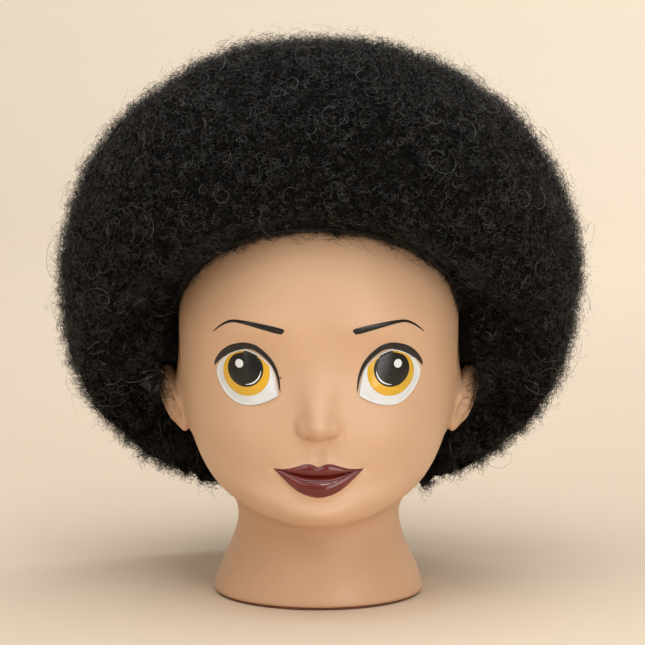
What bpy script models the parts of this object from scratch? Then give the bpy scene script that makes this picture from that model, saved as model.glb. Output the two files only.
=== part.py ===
"""Mannequin training head with a lift-off afro wig: a soft vinyl head on its own neck stand.

Metres, +Z up, the face looks towards -Y. The underside of the neck pad is z = 0.
"""
import math

import bmesh
import bpy
import numpy as np
from mathutils import Matrix, Vector

MM = 0.001
GAP = 0.35 * MM  # air between neighbouring pieces
NECK_Y = -22.7 * MM  # the neck's axis, set so that the whole object is centred on y = 0

# The head
VINYL = 3.5 * MM  # wall of the moulded skin
FACE_EXTRA = 4.0 * MM  # the wall is thicker behind the eyes and the nose
PAD_THICK = 1.0 * MM
FOOT_Z = PAD_THICK + GAP  # the moulded neck starts here, on its pad
HEAD_SIDES = 44

# The head's outline at each level, in millimetres from the neck's axis:
# front y, front z | side x, side y, side z | back y, back z | squareness of the front and the back
HEAD_LEVELS = (
    (-52.4, 1.35, 52.4, 0, 1.35, 52.4, 1.35, 2.0, 2.0),  # foot of the neck
    (-51.8, 8, 51.8, 0, 8, 51.8, 8, 2.0, 2.0),
    (-46.2, 19.5, 46.2, 0, 19.5, 46.2, 19.5, 2.0, 2.0),
    (-40.3, 33, 40.3, 0, 33, 40.3, 33, 2.0, 2.0),
    (-41, 42, 39.3, -1, 44, 43, 48, 2.0, 2.0),  # throat
    (-57, 43.5, 45, -4, 53, 48, 60, 2.0, 2.0),
    (-76, 44.5, 52.5, -6, 61, 56, 71, 2.0, 2.0),  # under the chin
    (-84.5, 54, 58.5, -5, 70.5, 65, 81, 2.05, 2.0),
    (-83, 65, 62.8, -3, 81, 74, 91.5, 2.15, 2.05),
    (-84, 77, 65.6, -1, 90, 80, 99, 2.2, 2.1),  # mouth
    (-84, 89, 67.8, 1, 99, 85.5, 107, 2.25, 2.1),
    (-83, 103, 69.5, 3, 111.5, 90.5, 118, 2.3, 2.1),
    (-82.5, 121, 70.4, 5, 126, 94, 131, 2.35, 2.1),  # eyes
    (-85.5, 143, 70.6, 6, 144, 95, 148, 2.3, 2.1),
    (-82.5, 165, 68.3, 7, 164, 91.5, 167, 2.2, 2.1),
    (-71, 187, 60.5, 8, 185, 79, 188, 2.1, 2.05),  # hairline
    (-50, 205, 45, 8, 203.5, 60, 205, 2.0, 2.0),
    (-24, 217.2, 23.6, 8, 216.8, 35, 217.2, 2.0, 2.0),
    (8, 222, 0, 8, 222, 8, 222, 2.0, 2.0),  # crown
)

# The face
EYE_X, EYE_Z = 34.2 * MM, 117.0 * MM
EYE_HALF_WIDTH, EYE_HALF_HEIGHT = 14.9 * MM, 13.0 * MM
# The eye's outline about its middle, in millimetres, X outwards, from the corner by the nose over the top
EYE_OUTLINE = (
    (-15.2, -8.0), (-14.2, 0), (-11.3, 6.2), (-6.2, 10.7), (0.2, 13.3), (5.0, 12.3), (9.3, 10.0), (13.4, 6.0),
    (14.6, 2.2), (12.9, -3.6), (9.2, -8.9), (4.0, -12.4), (-2.4, -13.0), (-8.7, -11.4), (-13.6, -9.2),
    (-15.2, -8.0),
)
EYE_THICK = 3.4 * MM
EYE_SET_BACK = 1.6 * MM  # how far the socket is let into the skin
SOCKET_GAP = 0.4 * MM
EAR_SIZE = Vector((6.5, 13.0, 17.0)) * MM
EAR_CENTRE = Vector((73.2, 5.0, 96.8)) * MM
EAR_LEAN, EAR_SPREAD = math.radians(-10), math.radians(22)
EAR_FLARE, EAR_TUCK, EAR_BEND_Z = 1.8 * MM, 0.3, 104 * MM

# The stand inside the neck
PLUG_HEIGHT = 30 * MM
PLUG_WALL = 2.4 * MM
PLUG_INSET = 3.0 * MM  # the plug's flange sits this far above the pad's underside
SOCKET_R = 15.0 * MM
SOCKET_WALL = 3.0 * MM
SOCKET_TOP = 62 * MM
PAD_INNER_R, PAD_OUTER_R = 43.5 * MM, 51.6 * MM

# The wig cap
CAP_THICK = 1.2 * MM
CAP_AIR = 1.4 * MM
HAIRLINE_SIDE_Z, HAIRLINE_TOP_Z = 125 * MM, 185.5 * MM
HAIRLINE_SPAN = math.radians(80)
TEMPLE = math.radians(78)  # where the hairline ends, in front of the ear
EAR_CUT = math.radians(84)
EAR_CUT_Z = 132 * MM
NAPE_START = math.radians(122)
NAPE_Z = 107 * MM
BAND_WIDTH = 7.0 * MM
NAPE_WIDTH = 11.0 * MM
TAB_DROP = 11.0 * MM
TAB_START = math.radians(70)
STAY_THICK = 0.8 * MM
WEFT_R = 0.9 * MM
# The rows of wefts: height in millimetres and half the opening over the face in degrees, 0 for a closed ring
WEFTS = ((215, 0), (205, 0), (194, 0), (182, 46), (170, 57), (157, 78), (144, 90), (131, 102))

# The nape adjusters: elastic straps on the nape band's outside, each with a wire hook on its end
STRAP_PLACE = math.radians(160)  # where each strap lies along the band
STRAP_LENGTH, STRAP_WIDTH, STRAP_THICK = 18 * MM, 6.5 * MM, 0.9 * MM
HOOK_R = 2.1 * MM
HOOK_WIRE_R = 0.5 * MM

# The hair
HAIR_AIR = 7.6 * MM  # from the scalp to the inside of the hair
HAIR_CENTRE_Y = 20 * MM
# Height, half width, reach forwards and reach backwards of the hair, in millimetres
HAIR_LEVELS = (
    (36, 66, 60, 84),
    (52, 73, 82, 94),
    (60, 85, 92, 103),
    (81, 107.5, 106, 116),
    (111, 124.5, 115, 124),
    (143, 132.5, 120, 127.5),
    (172, 133.5, 123, 128),
    (210, 122, 121, 119),
    (241, 100, 104, 98),
    (265, 65, 70, 66),
    (275.5, 36, 39, 36),
    (279, 0, 0, 0),
)
HAIR_SIDES = 40
HAIR_FRONT_Z, HAIR_SIDE_Z, HAIR_NAPE_Z = 197 * MM, 54 * MM, 38 * MM
HAIR_OVER_TAB = 12 * MM  # the hair hangs this far over the ear tabs
HAIR_FRONT_SPAN = math.radians(98)
HAIR_LOW_SPAN = math.radians(143)  # from here to the nape the hair hangs lowest
HAIR_EAR_END = math.radians(104)
BEHIND_EAR = math.radians(111)


def clear_scene():
    for old in list(bpy.data.objects):
        bpy.data.objects.remove(old, do_unlink=True)


def new_collection(name):
    made = bpy.data.collections.new(name)
    bpy.context.scene.collection.children.link(made)
    return made


def material(name, colour, roughness, metallic=0.0):
    made = bpy.data.materials.new(name)
    made.use_nodes = True
    shader = made.node_tree.nodes["Principled BSDF"]
    shader.inputs["Base Color"].default_value = (*colour, 1)
    shader.inputs["Roughness"].default_value = roughness
    shader.inputs["Metallic"].default_value = metallic
    return made


def add_part(name, mesh, look, smooth=True):
    part = bpy.data.objects.new(name, mesh)
    PARTS.objects.link(part)
    mesh.materials.clear()
    mesh.materials.append(look)
    if smooth:
        mesh.shade_smooth()
        mesh.set_sharp_from_angle(angle=math.radians(40))
    return part


def mesh_from(bm, name):
    bmesh.ops.recalc_face_normals(bm, faces=bm.faces)
    mesh = bpy.data.meshes.new(name)
    bm.to_mesh(mesh)
    bm.free()
    return mesh


def cutter(name, mesh):
    tool = bpy.data.objects.new(name, mesh)
    CUTTERS.objects.link(tool)
    tool.hide_render = True
    tool.display_type = "WIRE"
    return tool


def boolean(part, tool, operation):
    step = part.modifiers.new(f"{operation.lower()}_{tool.name}", "BOOLEAN")
    step.operation = operation
    step.solver = "EXACT"
    step.object = tool


def solidify(part, thickness):
    """Thickens an open surface outwards, the way its faces look."""
    step = part.modifiers.new("thickness", "SOLIDIFY")
    step.thickness = thickness
    step.offset = 1
    step.use_even_offset = True


def through(points, where):
    """A smooth curve through evenly numbered points, read at each place in where."""
    points = np.asarray(points, float)
    padded = np.vstack([2 * points[0] - points[1], points, 2 * points[-1] - points[-2]])
    where = np.asarray(where, float)
    start = np.clip(np.floor(where).astype(int), 0, len(points) - 2)
    t = (where - start)[..., None]
    a, b, c, d = (padded[start + i] for i in range(4))
    return 0.5 * (2 * b + (c - a) * t + (2 * a - 5 * b + 4 * c - d) * t**2 + (3 * b - a - 3 * c + d) * t**3)


def wig_levels():
    """The head's levels, none narrower than one above it, so that a cap on them lifts straight off."""
    levels = np.array(HEAD_LEVELS, float)
    for column, lowest in ((0, True), (2, False), (5, False)):
        run = levels[::-1, column]
        run = np.minimum.accumulate(run) if lowest else np.maximum.accumulate(run)
        levels[:, column] = run[::-1]
    return levels


def head_surface(levels, around, level):
    """Points of the smooth head. around is the angle from the face, level counts HEAD_LEVELS."""
    row = np.moveaxis(through(levels, level), -1, 0)
    front_y, front_z, side_x, side_y, side_z, back_y, back_z, square_front, square_back = row
    sine, cosine = np.sin(around), np.cos(around)
    ahead = cosine > 0
    reach = np.where(ahead, side_y - front_y, back_y - side_y)
    square = np.where(ahead, square_front, square_back)
    end_z = np.where(ahead, front_z, back_z)
    side_x = np.maximum(side_x, 1e-6)
    reach = np.maximum(reach, 1e-6)
    radius = ((np.abs(sine) / side_x) ** square + (np.abs(cosine) / reach) ** square) ** (-1 / square)
    x = radius * sine
    share = np.clip((x / side_x) ** 2, 0, 1)
    z = side_z * share + end_z * (1 - share)
    points = np.stack([x, side_y - radius * cosine, z], -1) * MM
    points[..., 1] += NECK_Y
    return points


def bump(x, z, x0, z0, wide, high):
    return np.exp(-(((np.abs(x) - x0) / wide) ** 2) - ((z - z0) / high) ** 2)


def face_relief(x, z):
    """How far the face stands out from the smooth head, in millimetres, at x and z in millimetres."""
    bridge = np.clip((z - 88) / 45, 0, 1)
    nose = 17.5 * np.clip(1 - bridge, 0, 1) ** 1.15 * np.exp(-((x / (7.5 + 3.0 * (1 - bridge))) ** 2))
    nose *= 1 / (1 + np.exp(-(z - 90.5) / 1.1))
    wings = 6.0 * bump(x, z, 7.5, 93, 4.2, 4.5)
    lips = 3.6 * bump(x, z, 0, 76, 15, 4.2) + 4.4 * bump(x, z, 0, 67, 13, 4.4)
    parting = -2.2 * np.exp(-(((z - 70.8) / 1.5) ** 2)) * np.exp(-((x / 19) ** 4))
    chin = 3.0 * bump(x, z, 0, 54, 15, 9)
    sockets = -3.0 * bump(x, z, 33, 119, 17, 14)
    brow = 2.2 * bump(x, z, 34, 142, 24, 8)
    cheeks = 2.5 * bump(x, z, 40, 92, 18, 14)
    return nose + wings + lips + parting + chin + sockets + brow + cheeks


def face_points(around, level):
    points = head_surface(np.array(HEAD_LEVELS, float), around, level)
    facing = np.clip(np.cos(around) * 1.6 - 0.15, 0, 1) ** 0.7
    points[..., 1] -= face_relief(points[..., 0] / MM, points[..., 2] / MM) * MM * facing
    return points


def lofted(rings, close_start=True, close_end=True):
    """A tube of faces through rings of points, with its ends capped or left open."""
    bm = bmesh.new()
    made = [[bm.verts.new(p) for p in ring] for ring in rings]
    for lower, upper in zip(made, made[1:]):
        for i in range(len(lower)):
            j = (i + 1) % len(lower)
            bm.faces.new((lower[i], lower[j], upper[j], upper[i]))
    if close_start:
        bm.faces.new(list(reversed(made[0])))
    if close_end:
        bm.faces.new(made[-1])
    bmesh.ops.remove_doubles(bm, verts=bm.verts, dist=0.02 * MM)
    return bm


def patch(grid):
    """An open surface through a grid of points, rows by columns."""
    bm = bmesh.new()
    made = [[bm.verts.new(p) for p in row] for row in grid]
    for lower, upper in zip(made, made[1:]):
        for i in range(len(lower) - 1):
            bm.faces.new((lower[i], lower[i + 1], upper[i + 1], upper[i]))
    bmesh.ops.remove_doubles(bm, verts=bm.verts, dist=0.02 * MM)
    return bm


def turned(name, profile, look, steps=40):
    """A solid of revolution about the neck's axis, from a closed outline of radius and height."""
    bm = bmesh.new()
    corners = [bm.verts.new((r, 0, z)) for r, z in profile]
    for i, corner in enumerate(corners):
        bm.edges.new((corner, corners[(i + 1) % len(corners)]))
    mesh = bpy.data.meshes.new(name)
    bm.to_mesh(mesh)
    bm.free()
    part = add_part(name, mesh, look)
    part.location.y = NECK_Y
    screw = part.modifiers.new("turn", "SCREW")
    screw.steps = screw.render_steps = steps
    screw.use_merge_vertices = True
    screw.merge_threshold = 0.00005
    return part


def ear_shift(z):
    """How far outwards the ear sits at a height: its lower half leans in to the jaw."""
    below = EAR_BEND_Z - z
    return EAR_FLARE - EAR_TUCK * 0.5 * (below + math.hypot(below, 3 * MM))


def ear_mesh(side):
    bm = bmesh.new()
    bmesh.ops.create_uvsphere(bm, u_segments=14, v_segments=9, radius=1)
    lean = Matrix.Rotation(EAR_LEAN, 4, "X")
    spread = Matrix.Rotation(-EAR_SPREAD * side, 4, "Z")
    place = Matrix.Translation(Vector((side * EAR_CENTRE.x, EAR_CENTRE.y + NECK_Y, EAR_CENTRE.z)))
    bmesh.ops.transform(bm, verts=bm.verts, matrix=place @ spread @ lean @ Matrix.Diagonal((*EAR_SIZE, 1)))
    for vertex in bm.verts:
        vertex.co.x += side * ear_shift(vertex.co.z)
    return mesh_from(bm, "ear")


def eye_outline(grow, count=22):
    """The eye's outline about its own middle, grown by some width."""
    corners = through(EYE_OUTLINE, np.linspace(0, len(EYE_OUTLINE) - 1, count, endpoint=False)) * MM
    wider, higher = 1 + grow / EYE_HALF_WIDTH, 1 + grow / EYE_HALF_HEIGHT
    return [(x * wider, z * higher) for x, z in corners]


def front_of_face():
    """Points all over the smooth front of the head, to read its depth from."""
    around = np.linspace(0, math.radians(84), 170)[:, None]
    level = np.linspace(5.5, 16, 260)[None, :]
    return face_points(around, level).reshape(-1, 3)


def skin_depth(x, z):
    """The y of the face straight ahead of a place on it."""
    away = (FACE[:, 0] - x) ** 2 + (FACE[:, 2] - z) ** 2
    near = np.argsort(away)[:4]
    weight = 1 / (away[near] + 1e-9)
    return float((FACE[near, 1] * weight).sum() / weight.sum())


def eye_solid(side, grow, back, front, dome):
    """A lens with the eye's outline, following the skin, from back to front of it."""
    outline = eye_outline(grow)
    sections = ((0.3, back), (0.66, back), (1.0, back), (1.0, front), (0.8, front + dome * 0.5),
                (0.55, front + dome * 0.85), (0.25, front + dome))
    rings = []
    for share, offset in sections:
        ring = []
        for x, z in outline:
            place = Vector((EYE_X + x * share, 0, EYE_Z + z * share))
            ring.append((side * place.x, skin_depth(place.x, place.z) - offset, place.z))
        rings.append(ring)
    return mesh_from(lofted(rings), "eye")


def head_rings():
    around = np.linspace(0, 2 * math.pi, HEAD_SIDES, endpoint=False)
    around = around - 0.22 * np.sin(around) - 0.06 * np.sin(2 * around)  # closer together on the face
    level = np.concatenate([np.linspace(0, 6, 11), np.linspace(6, 13, 22)[1:], np.linspace(13, 18, 9)[1:]])
    return [face_points(around, np.full_like(around, v)) for v in level]


def cavity_rings():
    """The inside of the moulded skin, open at the foot."""
    around = np.linspace(0, 2 * math.pi, 28, endpoint=False)
    rings = []
    for v in (0, 1, 2, 3, 4.2, 6.6, 8, 9.5, 11, 12.5, 14, 15.2, 16.3, 17.2, 17.9):
        ring = head_surface(np.array(HEAD_LEVELS, float), around, np.full_like(around, v))
        middle = ring.mean(axis=0)
        away = ring - middle
        size = np.linalg.norm(away[:, :2], axis=1, keepdims=True)
        shrink = np.clip(1 - (VINYL + 1.5 * MM * (v > 4)) / np.maximum(size, 1e-6), 0.05, 1)
        ring = middle + away * shrink
        behind_face = min(1.0, max(0.0, (v - 5) / 2), max(0.0, (16 - v) / 3))
        ring[:, 1] += FACE_EXTRA * behind_face * np.clip(-away[:, 1] / np.maximum(size[:, 0], 1e-6), 0, 1)
        ring[:, 2] -= VINYL * max(0.0, (v - 13) / 5)
        rings.append(ring)
    start = rings[0].copy()
    start[:, 2] = -5 * MM
    return [start] + rings


def build_head(look):
    shell = add_part("head_shell", mesh_from(lofted(head_rings()), "head_shell"), look)
    for side, word in ((-1, "left"), (1, "right")):
        boolean(shell, cutter(f"ear_form_{word}", ear_mesh(side)), "UNION")
    boolean(shell, cutter("head_cavity", mesh_from(lofted(cavity_rings()), "head_cavity")), "DIFFERENCE")
    for side, word in ((-1, "left"), (1, "right")):
        hole = eye_solid(side, SOCKET_GAP, -EYE_SET_BACK - SOCKET_GAP, 12 * MM, 0)
        boolean(shell, cutter(f"eye_socket_{word}", hole), "DIFFERENCE")


def build_eyes(look):
    for side, word in ((-1, "left"), (1, "right")):
        add_part(f"eye_{word}", eye_solid(side, 0, -EYE_SET_BACK, 0.5 * MM, EYE_THICK - EYE_SET_BACK), look)


def neck_inner_radius(z):
    heights = [row[4] * MM for row in HEAD_LEVELS[:4]]
    radii = [row[2] * MM for row in HEAD_LEVELS[:4]]
    return float(np.interp(z, heights, radii)) - VINYL - 2 * GAP


def build_stand(plug_look, pad_look):
    """The plug is a round cover with a skirt below and the clamp's socket in its middle, closed on top."""
    outer = [(neck_inner_radius(z) - 0.6 * MM, z) for z in (PLUG_INSET, 8 * MM, 19.5 * MM, PLUG_HEIGHT)]
    inner = [(r - PLUG_WALL, min(z, PLUG_HEIGHT - PLUG_WALL)) for r, z in outer]
    socket = SOCKET_R + SOCKET_WALL
    above = [(0, SOCKET_TOP), (socket, SOCKET_TOP), (socket, PLUG_HEIGHT)]
    below = [
        (socket, PLUG_HEIGHT - PLUG_WALL), (socket, PLUG_INSET), (SOCKET_R, PLUG_INSET),
        (SOCKET_R, SOCKET_TOP - SOCKET_WALL), (0, SOCKET_TOP - SOCKET_WALL),
    ]
    turned("neck_plug", above + outer[::-1] + inner + below, plug_look)
    pad = [
        (PAD_INNER_R, PAD_THICK), (PAD_OUTER_R, PAD_THICK), (PAD_OUTER_R, 0.3 * MM),
        (PAD_OUTER_R - 0.3 * MM, 0), (PAD_INNER_R, 0),
    ]
    turned("neck_pad", pad, pad_look, steps=48)


def hairline_z(around):
    """The height of the wig's lower edge at an angle from the face: an arch, the ear cut, then the nape."""
    around = abs(math.atan2(math.sin(around), math.cos(around)))
    if around <= EAR_CUT:
        share = math.cos(0.5 * math.pi * min(around, TEMPLE) / HAIRLINE_SPAN) ** 0.8
        arch = HAIRLINE_SIDE_Z + (HAIRLINE_TOP_Z - HAIRLINE_SIDE_Z) * share
        return arch + (EAR_CUT_Z - arch) * max(0.0, (around - TEMPLE) / (EAR_CUT - TEMPLE))
    share = min(1.0, max(0.0, (around - math.radians(100)) / (NAPE_START - math.radians(100))))
    return EAR_CUT_Z + (NAPE_Z - EAR_CUT_Z) * share * share * (3 - 2 * share)


class Scalp:
    """The wig's own surface: the head made to widen downwards. Places are counted up from the wig's edge."""

    LEVELS = wig_levels()
    TABLE = np.linspace(7, 18, 220)

    @classmethod
    def meridian(cls, around):
        return head_surface(cls.LEVELS, np.full_like(cls.TABLE, around), cls.TABLE)

    @classmethod
    def point(cls, around, up, lift):
        """A point up the scalp from the edge, lifted off it."""
        line = cls.meridian(around)
        run = np.concatenate([[0], np.cumsum(np.linalg.norm(np.diff(line, axis=0), axis=1))])
        start = float(np.interp(hairline_z(around), line[:, 2], run))
        level = float(np.interp(start + up, run, cls.TABLE))
        return cls.lifted(around, level, lift)

    @classmethod
    def at_height(cls, around, z, lift):
        line = cls.meridian(around)
        level = float(np.interp(z, line[:, 2], cls.TABLE))
        return cls.lifted(around, level, lift)

    @classmethod
    def between(cls, around, low_z, share, lift):
        """A point some share of the way from a height to the crown."""
        low = float(np.interp(low_z, cls.meridian(around)[:, 2], cls.TABLE))
        return cls.lifted(around, low + (cls.TABLE[-1] - low) * share, lift)

    @classmethod
    def lifted(cls, around, level, lift):
        here = head_surface(cls.LEVELS, np.array([around]), np.array([level]))[0]
        if level > 17.9:
            return Vector(here) + Vector((0, 0, lift))
        side = head_surface(cls.LEVELS, np.array([around + 0.02]), np.array([level]))[0]
        up = head_surface(cls.LEVELS, np.array([around]), np.array([level + 0.05]))[0]
        away = Vector(side - here).cross(Vector(up - here)).normalized()
        return Vector(here) + away * lift

    @classmethod
    def rim_length(cls, around):
        """The way from the wig's edge to the crown."""
        line = cls.meridian(around)
        run = np.concatenate([[0], np.cumsum(np.linalg.norm(np.diff(line, axis=0), axis=1))])
        return float(run[-1] - np.interp(hairline_z(around), line[:, 2], run))


def strip(name, angles, low, high, lift, thickness, look, rows=1):
    """A strip of cloth along the wig's edge, between two distances up from it."""
    grid = []
    for row in range(rows + 1):
        up = low + (high - low) * row / rows
        grid.append([Scalp.point(a, up, lift) for a in angles])
    part = add_part(name, mesh_from(patch(grid), name), look)
    outward = part.data.polygons[0].normal.dot(part.data.polygons[0].center - Vector((0, 0, 0.14)))
    if outward < 0:
        part.data.flip_normals()
    solidify(part, thickness)
    return part


def cap_start(around):
    """How far up from the edge the cap itself begins: it is trimmed where a band takes its place."""
    around = abs(math.atan2(math.sin(around), math.cos(around)))
    if around < TEMPLE + 0.012:
        return BAND_WIDTH + GAP
    if around > NAPE_START - 0.012:
        return NAPE_WIDTH + GAP
    return 0.0


def build_cap(look):
    half = angle_run(0, TEMPLE - 0.02, 11) + [TEMPLE + 0.01, TEMPLE + 0.03, EAR_CUT]
    half += angle_run(EAR_CUT + 0.13, NAPE_START - 0.03, 5) + angle_run(NAPE_START - 0.01, math.pi, 9)[:-1]
    angles = [-a for a in reversed(half[1:])] + half + [math.pi]
    rings = []
    for share in [i / 12 for i in range(13)]:
        ring = []
        for a in angles:
            low = cap_start(a)
            ring.append(Scalp.point(a, low + (Scalp.rim_length(a) - low) * share, CAP_AIR))
        rings.append(ring)
    bm = lofted(rings, close_start=False, close_end=False)
    part = add_part("wig_cap", mesh_from(bm, "wig_cap"), look)
    if part.data.polygons[0].normal.dot(part.data.polygons[0].center - Vector((0, 0, 0.14))) < 0:
        part.data.flip_normals()
    solidify(part, CAP_THICK)


def angle_run(start, end, count):
    return [start + (end - start) * i / (count - 1) for i in range(count)]


def build_bands(band_look, tab_look, stay_look):
    strip("front_band", angle_run(-TEMPLE, TEMPLE, 27), 0, BAND_WIDTH, CAP_AIR, CAP_THICK, band_look)
    nape = angle_run(NAPE_START, 2 * math.pi - NAPE_START, 15)
    strip("nape_band", nape, 0, NAPE_WIDTH, CAP_AIR, CAP_THICK, band_look)
    for side, word in ((-1, "left"), (1, "right")):
        tab = sorted(side * a for a in angle_run(TAB_START, TEMPLE, 4))
        strip(f"ear_tab_{word}", tab, -TAB_DROP, -GAP, CAP_AIR, CAP_THICK, tab_look, rows=2)
        stay = sorted(side * a for a in angle_run(TAB_START + 0.05, TEMPLE - 0.05, 2))
        lift = CAP_AIR + CAP_THICK + GAP
        strip(f"tab_stay_{word}", stay, -TAB_DROP + 2 * MM, -2 * MM, lift, STAY_THICK, stay_look, rows=2)


def tube(name, points, radius, look, closed=False, resolution=1):
    """A wire or cord through points, as a closed mesh."""
    curve = bpy.data.curves.new(name, "CURVE")
    curve.dimensions = "3D"
    curve.bevel_depth = radius
    curve.bevel_resolution = resolution
    curve.use_fill_caps = True
    curve.render_resolution_u = 0
    spline = curve.splines.new("POLY")
    spline.points.add(len(points) - 1)
    for place, point in zip(spline.points, points):
        place.co = (*point, 1)
    spline.use_cyclic_u = closed
    part = bpy.data.objects.new(name, curve)
    PARTS.objects.link(part)
    curve.materials.append(look)
    return part


def build_wefts(look):
    lift = CAP_AIR + CAP_THICK + GAP + WEFT_R + 0.2 * MM
    for i, (z, opening) in enumerate(WEFTS):
        start = math.radians(opening)
        around = angle_run(start, 2 * math.pi - start, 29 if opening else 33)
        if not opening:
            around.pop()
        points = [Scalp.at_height(a, z * MM, lift) for a in around]
        tube(f"weft_{i + 1}", points, WEFT_R, look, closed=not opening, resolution=0)


def build_straps(strap_look, hook_look):
    """Each strap hangs on an empty in its middle, whose X axis runs the way the strap slides."""
    lift = CAP_AIR + CAP_THICK + GAP + STRAP_THICK / 2
    up = Vector((0, 0, 1))
    for side, word in ((-1, "left"), (1, "right")):
        middle = Scalp.point(STRAP_PLACE, NAPE_WIDTH / 2, lift)
        along = Scalp.point(STRAP_PLACE + 0.03, NAPE_WIDTH / 2, lift) - middle
        middle.x *= side
        along = Vector((along.x * side, along.y, 0)).normalized()
        place = bpy.data.objects.new(f"strap_slide_{word}", None)
        PARTS.objects.link(place)
        turn = Matrix((along, up.cross(along), up)).transposed().to_4x4()
        place.matrix_world = Matrix.Translation(middle) @ turn
        bm = bmesh.new()
        bmesh.ops.create_cube(bm, size=1)
        bmesh.ops.scale(bm, verts=bm.verts, vec=(STRAP_LENGTH, STRAP_THICK, STRAP_WIDTH))
        strap = add_part(f"strap_{word}", mesh_from(bm, "strap"), strap_look, smooth=False)
        strap.parent = place
        edge = strap.modifiers.new("soft_edges", "BEVEL")
        edge.width = 0.3 * MM
        edge.segments = 1
        hook = tube(f"strap_hook_{word}", hook_line(), HOOK_WIRE_R, hook_look)
        hook.parent = place


def hook_line():
    """The hook's wire, beyond the strap's end: a straight foot and an open loop."""
    start = STRAP_LENGTH / 2 + GAP + HOOK_WIRE_R
    line = [Vector((start, 0, -HOOK_R))]
    for degrees in (-90, -45, 0, 45, 90, 130, 165):
        turn = math.radians(degrees)
        line.append(Vector((start + HOOK_R * (1 + math.cos(turn)), 0, HOOK_R * math.sin(turn))))
    return line


def smooth(low, high, x):
    """0 below low, 1 above high, with an even turn between."""
    share = min(1.0, max(0.0, (x - low) / (high - low)))
    return share * share * (3 - 2 * share)


def hair_point(around, z):
    """The outside of the hair at a height, in a direction from the hair's own middle."""
    heights = [row[0] * MM for row in HAIR_LEVELS]
    place = float(np.interp(z, heights, range(len(heights))))
    low, wide, front, back = through(HAIR_LEVELS, [place])[0] * MM
    sine, cosine = math.sin(around), math.cos(around)
    reach = max(front if cosine > 0 else back, 1e-6)
    wide = max(wide, 1e-6)
    radius = ((abs(sine) / wide) ** 2.15 + (abs(cosine) / reach) ** 2.15) ** (-1 / 2.15)
    return Vector((radius * sine, HAIR_CENTRE_Y + NECK_Y - radius * cosine, z))


def hair_inner_z(around):
    """Where the hair's inside ends: at the hairline in front, hanging below the cap behind the ears."""
    around = abs(math.atan2(math.sin(around), math.cos(around)))
    if around < HAIR_EAR_END:
        temple = smooth(math.radians(60), TAB_START, around)
        return hairline_z(min(around, EAR_CUT)) + 1.0 * MM - HAIR_OVER_TAB * temple
    above_ear = EAR_CUT_Z + 1.0 * MM - HAIR_OVER_TAB
    return above_ear + (HAIR_SIDE_Z - above_ear) * smooth(HAIR_EAR_END, BEHIND_EAR, around)


def hair_outer_z(around):
    """The lower edge of the hair's outside."""
    around = abs(math.atan2(math.sin(around), math.cos(around)))
    if around < HAIR_FRONT_SPAN:
        share = math.cos(0.5 * math.pi * around / HAIR_FRONT_SPAN)
        return HAIR_SIDE_Z + (HAIR_FRONT_Z - HAIR_SIDE_Z) * share
    return HAIR_SIDE_Z + (HAIR_NAPE_Z - HAIR_SIDE_Z) * smooth(HAIR_FRONT_SPAN, HAIR_LOW_SPAN, around)


def build_hair(look):
    half = angle_run(0, EAR_CUT, 9) + [math.radians(94), HAIR_EAR_END, math.radians(107.5)]
    half += angle_run(BEHIND_EAR, math.pi, 7)
    angles = [-a for a in reversed(half[1:-1])] + half
    rings = []
    for share in (1, 0.94, 0.87, 0.78, 0.68, 0.57, 0.46, 0.34, 0.22, 0.1, 0):
        rings.append([Scalp.between(a, hair_inner_z(a), share, HAIR_AIR) for a in angles])
    for share in (0.3, 0.7, 1, 1.1, 1.2, 1.32, 1.45, 1.58, 1.7, 1.82, 1.92, 2):
        ring = []
        for a in angles:
            inside = Scalp.between(a, hair_inner_z(a), 0, HAIR_AIR)
            outside = hair_point(a, hair_outer_z(a))
            if share <= 1:
                rim = inside.lerp(outside, share)
                rim.z = inside.z + (outside.z - inside.z) * share**1.7
                ring.append(rim)
            else:
                top = HAIR_LEVELS[-1][0] * MM
                turn = 0.5 * math.pi * (share - 1)
                z = outside.z + (top - outside.z) * math.sin(turn)
                ring.append(hair_point(a, z))
        rings.append(ring)
    add_part("hair_mass", mesh_from(lofted(rings, close_start=False, close_end=False), "hair_mass"), look)


clear_scene()
FACE = front_of_face()
PARTS = new_collection("mannequin_training_head")
CUTTERS = new_collection("cutters")
vinyl = material("vinyl_skin", (0.62, 0.36, 0.21), 0.5)
build_head(vinyl)
build_eyes(material("eye_plastic", (0.85, 0.84, 0.8), 0.15))
build_stand(material("plug_plastic", (0.75, 0.73, 0.68), 0.5), material("pad_foam", (0.12, 0.05, 0.03), 0.9))
build_cap(material("cap_net", (0.03, 0.03, 0.03), 0.9))
black_elastic = material("band_elastic", (0.02, 0.02, 0.02), 0.8)
steel = material("wire_steel", (0.7, 0.7, 0.7), 0.3, 1)
build_bands(black_elastic, material("tab_felt", (0.6, 0.38, 0.24), 0.8), steel)
build_straps(black_elastic, steel)
build_wefts(material("weft_thread", (0.02, 0.018, 0.016), 0.8))
build_hair(material("hair_fibre", (0.015, 0.012, 0.01), 0.7))
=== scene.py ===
"""Mannequin training head with a lift-off afro wig, in a plain pale studio.

Metres, +Z up, the face looks towards -Y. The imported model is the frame: each piece made here
takes its place from it, and rides on one of its bodies.
"""
import math

import bmesh
import bpy
import numpy as np
from mathutils import Matrix, Vector
from mathutils.bvhtree import BVHTree


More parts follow.
